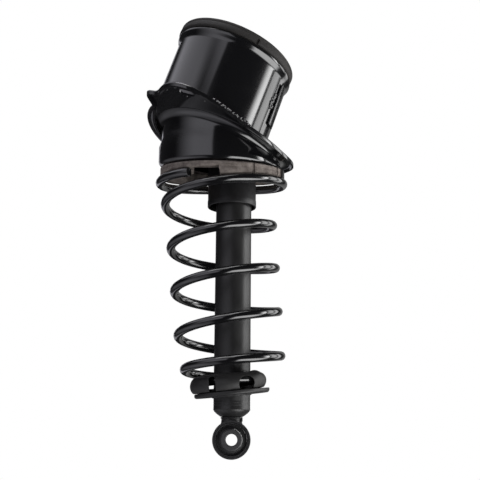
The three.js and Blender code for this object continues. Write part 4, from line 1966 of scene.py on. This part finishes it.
@dataclass
class RimSeal:
    """The thick rubber rim over the canister's open edge, with a small drain notch."""

    overhang: float = 4
    lap: float = 2
    height: float = 13
    notch_turn: float = 292

    def build(self, finishes: Finishes, form: HousingForm) -> None:
        """Turns the rim in its own tilted plane and cuts the groove for the wall and the notch.

        Args:
            finishes: The assembly's finishes.
            form: The housing's shared shape.
        """
        outer = form.can_radius + self.overhang
        inner = form.can_radius - form.sheet - self.lap
        tall = self.height
        profile = [
            (inner, -tall + 3), *arc((inner + 2, -tall + 2), 2, 180, 270, 4),
            *arc((outer - 3.4, -tall + 3.4), 3.4, -90, 0, 7), (outer, -5.2), (outer - 0.35, -4.6),
            (outer, -4), *arc((outer - 2.6, -2.6), 2.6, 0, 90, 6), (inner + 0.8, 0), (inner, -0.8),
        ]
        rim = Bench.turned("rim_rubber_ring", profile, 240, place=form.rim_top.matrix())
        groove_profile = band(form.can_radius - form.sheet - 0.2, form.can_radius + 0.2, -60, 40)
        groove = Bench.turned("groove", groove_profile, 240, place=form.can_top.matrix())
        up = form.rim_top.normal
        Bench.trimmed(groove, Vector(form.rim_top.centre) - up * 2.8, up)
        turn = math.radians(self.notch_turn)
        place = form.rim_top.matrix() @ Matrix.Rotation(turn, 4, "Z") @ Matrix.Translation((outer, 0, -9.5))
        notch = Bench.block("notch", (4.4, 3.4, 8), place)
        Bench.softened(notch, 1, 3, angle=60)
        Bench.cut(rim, groove, notch)
        Bench.deliver(rim, Body.HOUSING, "seal_rubber", finishes.seal, ["rim_seal"], smooth=45)


@dataclass
class UpperMount:
    """The top mount inside the canister: plate, rubber, washers, nut and bump stop."""

    def build(self, finishes: Finishes, form: HousingForm) -> None:
        """Builds the pieces that show from above.

        Args:
            finishes: The assembly's finishes.
            form: The housing's shared shape.
        """
        self._plate(finishes, form)
        self._rubber(finishes)
        self._washers(finishes)
        self._nut(finishes)
        self._bump_stop(finishes)

    @staticmethod
    def _plate(finishes: Finishes, form: HousingForm) -> None:
        """The plate across the canister with a raised ring round its hole.

        Args:
            finishes: The assembly's finishes.
            form: The housing's shared shape.
        """
        low, high = extent("mount_plate")
        thick = high.z - low.z
        raised = high.z + 1.6
        profile = [
            (30, low.z), (150, low.z), (150, high.z), (52, high.z), (49, raised), (40, raised),
            (38, high.z), (30, high.z),
        ]
        plate = Bench.turned("mount_disc", profile, 180)
        can = form.can_radius - form.sheet - 0.3
        inside = Bench.turned("inside", [(can, -180), (can, 30)], 180, Ends.CAPPED, form.can_top.matrix())
        Bench.kept_inside(plate, inside)
        Bench.softened(plate, thick * 0.15, 2, angle=45)
        Bench.deliver(plate, Body.HOUSING, "inner_steel_black", finishes.satin, ["mount_plate"], smooth=35)

    @staticmethod
    def _rubber(finishes: Finishes) -> None:
        """The mount's rubber, clasped round the plate.

        Args:
            finishes: The assembly's finishes.
        """
        low, high = extent("mount_rubber")
        _, plate = extent("mount_plate")
        plate_low = plate.z - 3
        outer, bore, neck = high.x, ROD_BORE, 29.7
        profile = [
            (bore, low.z), *arc((outer - 3, low.z + 3), 3, -90, 0, 5), (outer, plate_low - 0.3),
            (neck, plate_low - 0.3), (neck, plate.z + 0.3), (outer, plate.z + 0.3),
            *arc((outer - 3, high.z - 3), 3, 0, 90, 5), (27, high.z), (26, high.z - 0.8), (25, high.z),
            (bore, high.z),
        ]
        rubber = Bench.turned("mount_bush", profile, 128)
        Bench.deliver(rubber, Body.HOUSING, "black_rubber", finishes.rubber, ["mount_rubber"])

    @staticmethod
    def _washers(finishes: Finishes) -> None:
        """The two cupped washers.

        Args:
            finishes: The assembly's finishes.
        """
        for node in ("upper_washer", "lower_washer"):
            low, high = extent(node)
            outer, middle = high.x, (low.z + high.z) / 2
            profile = [
                (ROD_BORE, low.z), (outer - 0.6, low.z), (outer, middle), (outer - 0.6, high.z),
                (ROD_BORE, high.z),
            ]
            washer = Bench.turned(node + "_disc", profile, 96)
            Bench.softened(washer, 0.3)
            Bench.deliver(washer, Body.HOUSING, "zinc_steel", finishes.zinc, [node])

    @staticmethod
    def _nut(finishes: Finishes) -> None:
        """The rod's nut with turned-down corners.

        Args:
            finishes: The assembly's finishes.
        """
        low, high = extent("rod_nut")
        corner = (high.x - low.x) / 2
        nut = Bench.turned("rod_lock_nut", band(ROD_BORE, corner, low.z, high.z), 6)
        across, above = corner + 0.2, high.z + 0.3
        crown_profile = [
            (2, low.z - 2), (corner - 1, low.z - 2), (across, low.z + 1), (across, high.z - 1),
            (corner - 2.2, above), (2, above),
        ]
        crown = Bench.turned("crown", crown_profile, 64, Ends.CAPPED)
        Bench.kept_inside(nut, crown)
        Bench.deliver(nut, Body.HOUSING, "zinc_steel", finishes.zinc, ["rod_nut"], smooth=25)

    @staticmethod
    def _bump_stop(finishes: Finishes) -> None:
        """The three-lobed foam stop.

        Args:
            finishes: The assembly's finishes.
        """
        low, high = extent("bump_stop")
        bore, lobe = 6.8, (high.z - low.z) / 3
        outside: list[Pair] = [(13, low.z)]
        for i in range(3):
            radius = 21 - (2 - i) * 1.5
            outside += arc((radius - lobe * 0.32, low.z + (i + 0.5) * lobe), lobe * 0.32, -75, 75, 6)
            outside.append((radius - 4.5, low.z + (i + 1) * lobe))
        outside[-1] = (17, high.z)
        stop = Bench.turned("foam_stop", [(bore, low.z), *outside, (bore, high.z)], 72)
        Bench.deliver(stop, Body.HOUSING, "bump_foam", finishes.foam, ["bump_stop"], smooth=50)
        shorten_with_stroke(stop, high.z, high.z - 115)


def dress_inner_parts(finishes: Finishes) -> None:
    """Gives the CAD nodes that stay their finish.

    Args:
        finishes: The assembly's finishes.
    """
    by_node = {
        "pressure_tube": finishes.inner, "base_valve": finishes.inner, "intake_disc": finishes.inner,
        "rod_guide": finishes.inner, "rod_seal": finishes.rubber, "piston_rod": finishes.chrome,
        "piston": finishes.inner, "piston_band": finishes.foam, "piston_valve_disc": finishes.inner,
        "piston_nut": finishes.zinc, "rebound_stop": finishes.foam,
    }
    for name, node in frame["nodes"].items():
        finish = by_node.get(name, finishes.satin)
        node.data.materials.clear()
        node.data.materials.append(finish)
        log.info("%s keeps its CAD mesh in %s", name, finish.name)


# ------------------------------------------------------------------------------------------------
# Studio
# ------------------------------------------------------------------------------------------------
@dataclass(frozen=True)
class Softbox:
    """A soft even light far off, between two directions with soft edges.

    Each edge is a pair of angles in degrees: where the light starts and where it is full.
    """

    left: Pair
    right: Pair
    foot: Pair
    head: Pair
    radiance: float
    lean: float = 0

    def light(self, azimuth: Value, elevation: Value) -> Value:
        """The light that comes from a direction.

        Args:
            azimuth: Degrees to the right of the front.
            elevation: Degrees above level.

        Returns:
            The radiance.
        """
        across = azimuth - (elevation - 17) * self.lean if self.lean else azimuth
        sides = azimuth.step(*self.left) * (1 - across.step(*self.right))
        return sides * elevation.step(*self.foot) * (1 - elevation.step(*self.head)) * self.radiance


@dataclass
class Studio:
    """The plain white studio: camera, softboxes, floor and backdrop."""

    lens: float = 67.5
    pitch: float = 12.35
    roll: float = 0.5
    eye: Point = (0.0083044, -1.117, 0.0035657)
    floor_height: float = -0.0236
    tint: Point = (0.93, 0.92, 1.0)
    plain: Point = (1.0, 1.0, 1.0)
    room: float = 0.022
    boxes: tuple[Softbox, ...] = (
        Softbox((-92, -42), (-14, -8), (-14, 2), (24, 36), 1.0),
        Softbox((-140, -116), (-54, -22), (26, 38), (120, 121), 0.95),
        Softbox((-30, -22), (2, 8), (26, 36), (60, 80), 0.2),
        Softbox((70, 84), (87, 90), (-16, -8), (18, 28), 8),
        Softbox((93, 96), (108, 116), (-16, -8), (26, 44), 3),
        Softbox((14, 26), (84, 96), (-64, -50), (-24, -14), 5),
        Softbox((116, 120), (127, 132), (-30, -16), (24, 36), 2.2),
        Softbox((-150, -120), (-74, -50), (-84, -70), (-14, 2), 0.3),
        Softbox((-120, -90), (-40, -20), (-84, -70), (-30, -10), 0.45),
    )
    rear_boxes: tuple[Softbox, ...] = (
        Softbox((-34, -30), (-6, -2), (-60, -40), (40, 60), 0.2),
        Softbox((14, 17), (24, 27), (-60, -40), (40, 60), 0.5),
    )
    over: Pair = (72, 80)
    over_radiance: float = 4.5

    def build(self) -> None:
        """Places everything."""
        self._camera()
        self._world()
        self._top_light()
        self._stage()

    def _camera(self) -> None:
        """The camera, looking up a little from in front."""
        data = bpy.data.cameras.new("camera")
        data.lens, data.sensor_width, data.clip_start, data.clip_end = self.lens, 36, 0.01, 50
        camera = bpy.data.objects.new("camera", data)
        pitch, roll = math.radians(self.pitch), math.radians(self.roll)
        facing = Matrix.Rotation(math.radians(90) + pitch, 4, "X") @ Matrix.Rotation(roll, 4, "Z")
        camera.matrix_world = Matrix.Translation(self.eye) @ facing
        bpy.context.scene.collection.objects.link(camera)
        bpy.context.scene.camera = camera

    def _world(self) -> None:
        """The softboxes round the object, as light from far off."""
        scene = bpy.context.scene
        scene.world = bpy.data.worlds.new("room")
        scene.world.use_nodes = True
        graph = Graph(scene.world.node_tree)
        way = graph.node("ShaderNodeTexCoord", {}, {}).outputs["Generated"]
        axes = graph.node("ShaderNodeSeparateXYZ", {}, {0: way})
        x, y, z = (Value(graph, socket) for socket in axes.outputs)
        degrees = math.degrees(1)
        turn = {"operation": "ARCTAN2"}
        azimuth = graph.number("ShaderNodeMath", turn, {0: x, 1: y * -1.0}) * degrees
        behind = graph.number("ShaderNodeMath", turn, {0: x * -1.0, 1: y}) * degrees
        elevation = graph.number("ShaderNodeMath", {"operation": "ARCSINE"}, {0: z}) * degrees
        total = elevation.step(*self.over) * self.over_radiance + self.room
        for box in self.boxes:
            total = total + box.light(azimuth, elevation)
        for box in self.rear_boxes:
            total = total + box.light(behind, elevation)
        colour = graph.mix(azimuth.step(0, 30), self.tint, self.plain)
        background = graph.node("ShaderNodeBackground", {}, {"Color": colour, "Strength": total})
        output = graph.node("ShaderNodeOutputWorld", {}, {"Surface": background.outputs[0]})
        output.is_active_output = True
        scene.world.cycles.sampling_method = "MANUAL"
        scene.world.cycles.sample_map_resolution = 1024
        scene.view_settings.view_transform = "Standard"

    def _top_light(self) -> None:
        """One soft lamp overhead, for the broad shading of the matt pieces."""
        lamp_data = bpy.data.lights.new("over", "AREA")
        lamp_data.shape = "SQUARE"
        lamp_data.size = 1.2
        lamp_data.energy = 9
        lamp = bpy.data.objects.new("over", lamp_data)
        lamp.location = (-0.35, -0.7, 1.9)
        lamp.rotation_euler = (
            Vector(lamp.location) - Vector((0, 0, 0.3))
        ).to_track_quat("Z", "Y").to_euler()
        lamp.visible_camera = False
        bpy.context.scene.collection.objects.link(lamp)

    def _stage(self) -> None:
        """The white floor and backdrop, which only the camera sees."""
        Bench.clear()
        bpy.ops.mesh.primitive_uv_sphere_add(segments=64, ring_count=32, radius=8)
        backdrop = bpy.context.object
        backdrop.name = "backdrop"
        Bench.clear()
        bpy.ops.mesh.primitive_circle_add(
            vertices=96, radius=8, fill_type="NGON", location=(0, 0, self.floor_height)
        )
        floor = Bench.settle(bpy.context.object)
        floor.name = "floor"
        for stage in (backdrop, floor):
            paper = bpy.data.materials.new(stage.name + "_paper")
            paper.use_nodes = True
            tree = paper.node_tree
            tree.nodes.clear()
            output = tree.nodes.new("ShaderNodeOutputMaterial")
            glow = tree.nodes.new("ShaderNodeEmission")
            glow.inputs["Strength"].default_value = 1.0
            tree.links.new(glow.outputs[0], output.inputs["Surface"])
            stage.data.materials.append(paper)
            for ray in ("diffuse", "glossy", "transmission", "shadow", "volume_scatter"):
                setattr(stage, "visible_" + ray, False)


def main() -> None:
    """Builds the studio and then each sub-assembly in order."""
    logging.basicConfig(level=logging.INFO, format="%(message)s")
    Studio().build()
    finishes = Finishes()
    form = HousingForm()
    spring = CoilSpring()
    spring.build(finishes)
    LowerEye().build(finishes)
    Damper().build(finishes)
    LowerSeat().build(finishes, spring)
    UpperPad().build(finishes, form, spring)
    LowerCup().build(finishes, form)
    Brim().build(finishes, form)
    Canister().build(finishes, form)
    RimSeal().build(finishes, form)
    UpperMount().build(finishes, form)
    dress_inner_parts(finishes)
    Bench.clear()


if __name__ == "__main__":
    main()
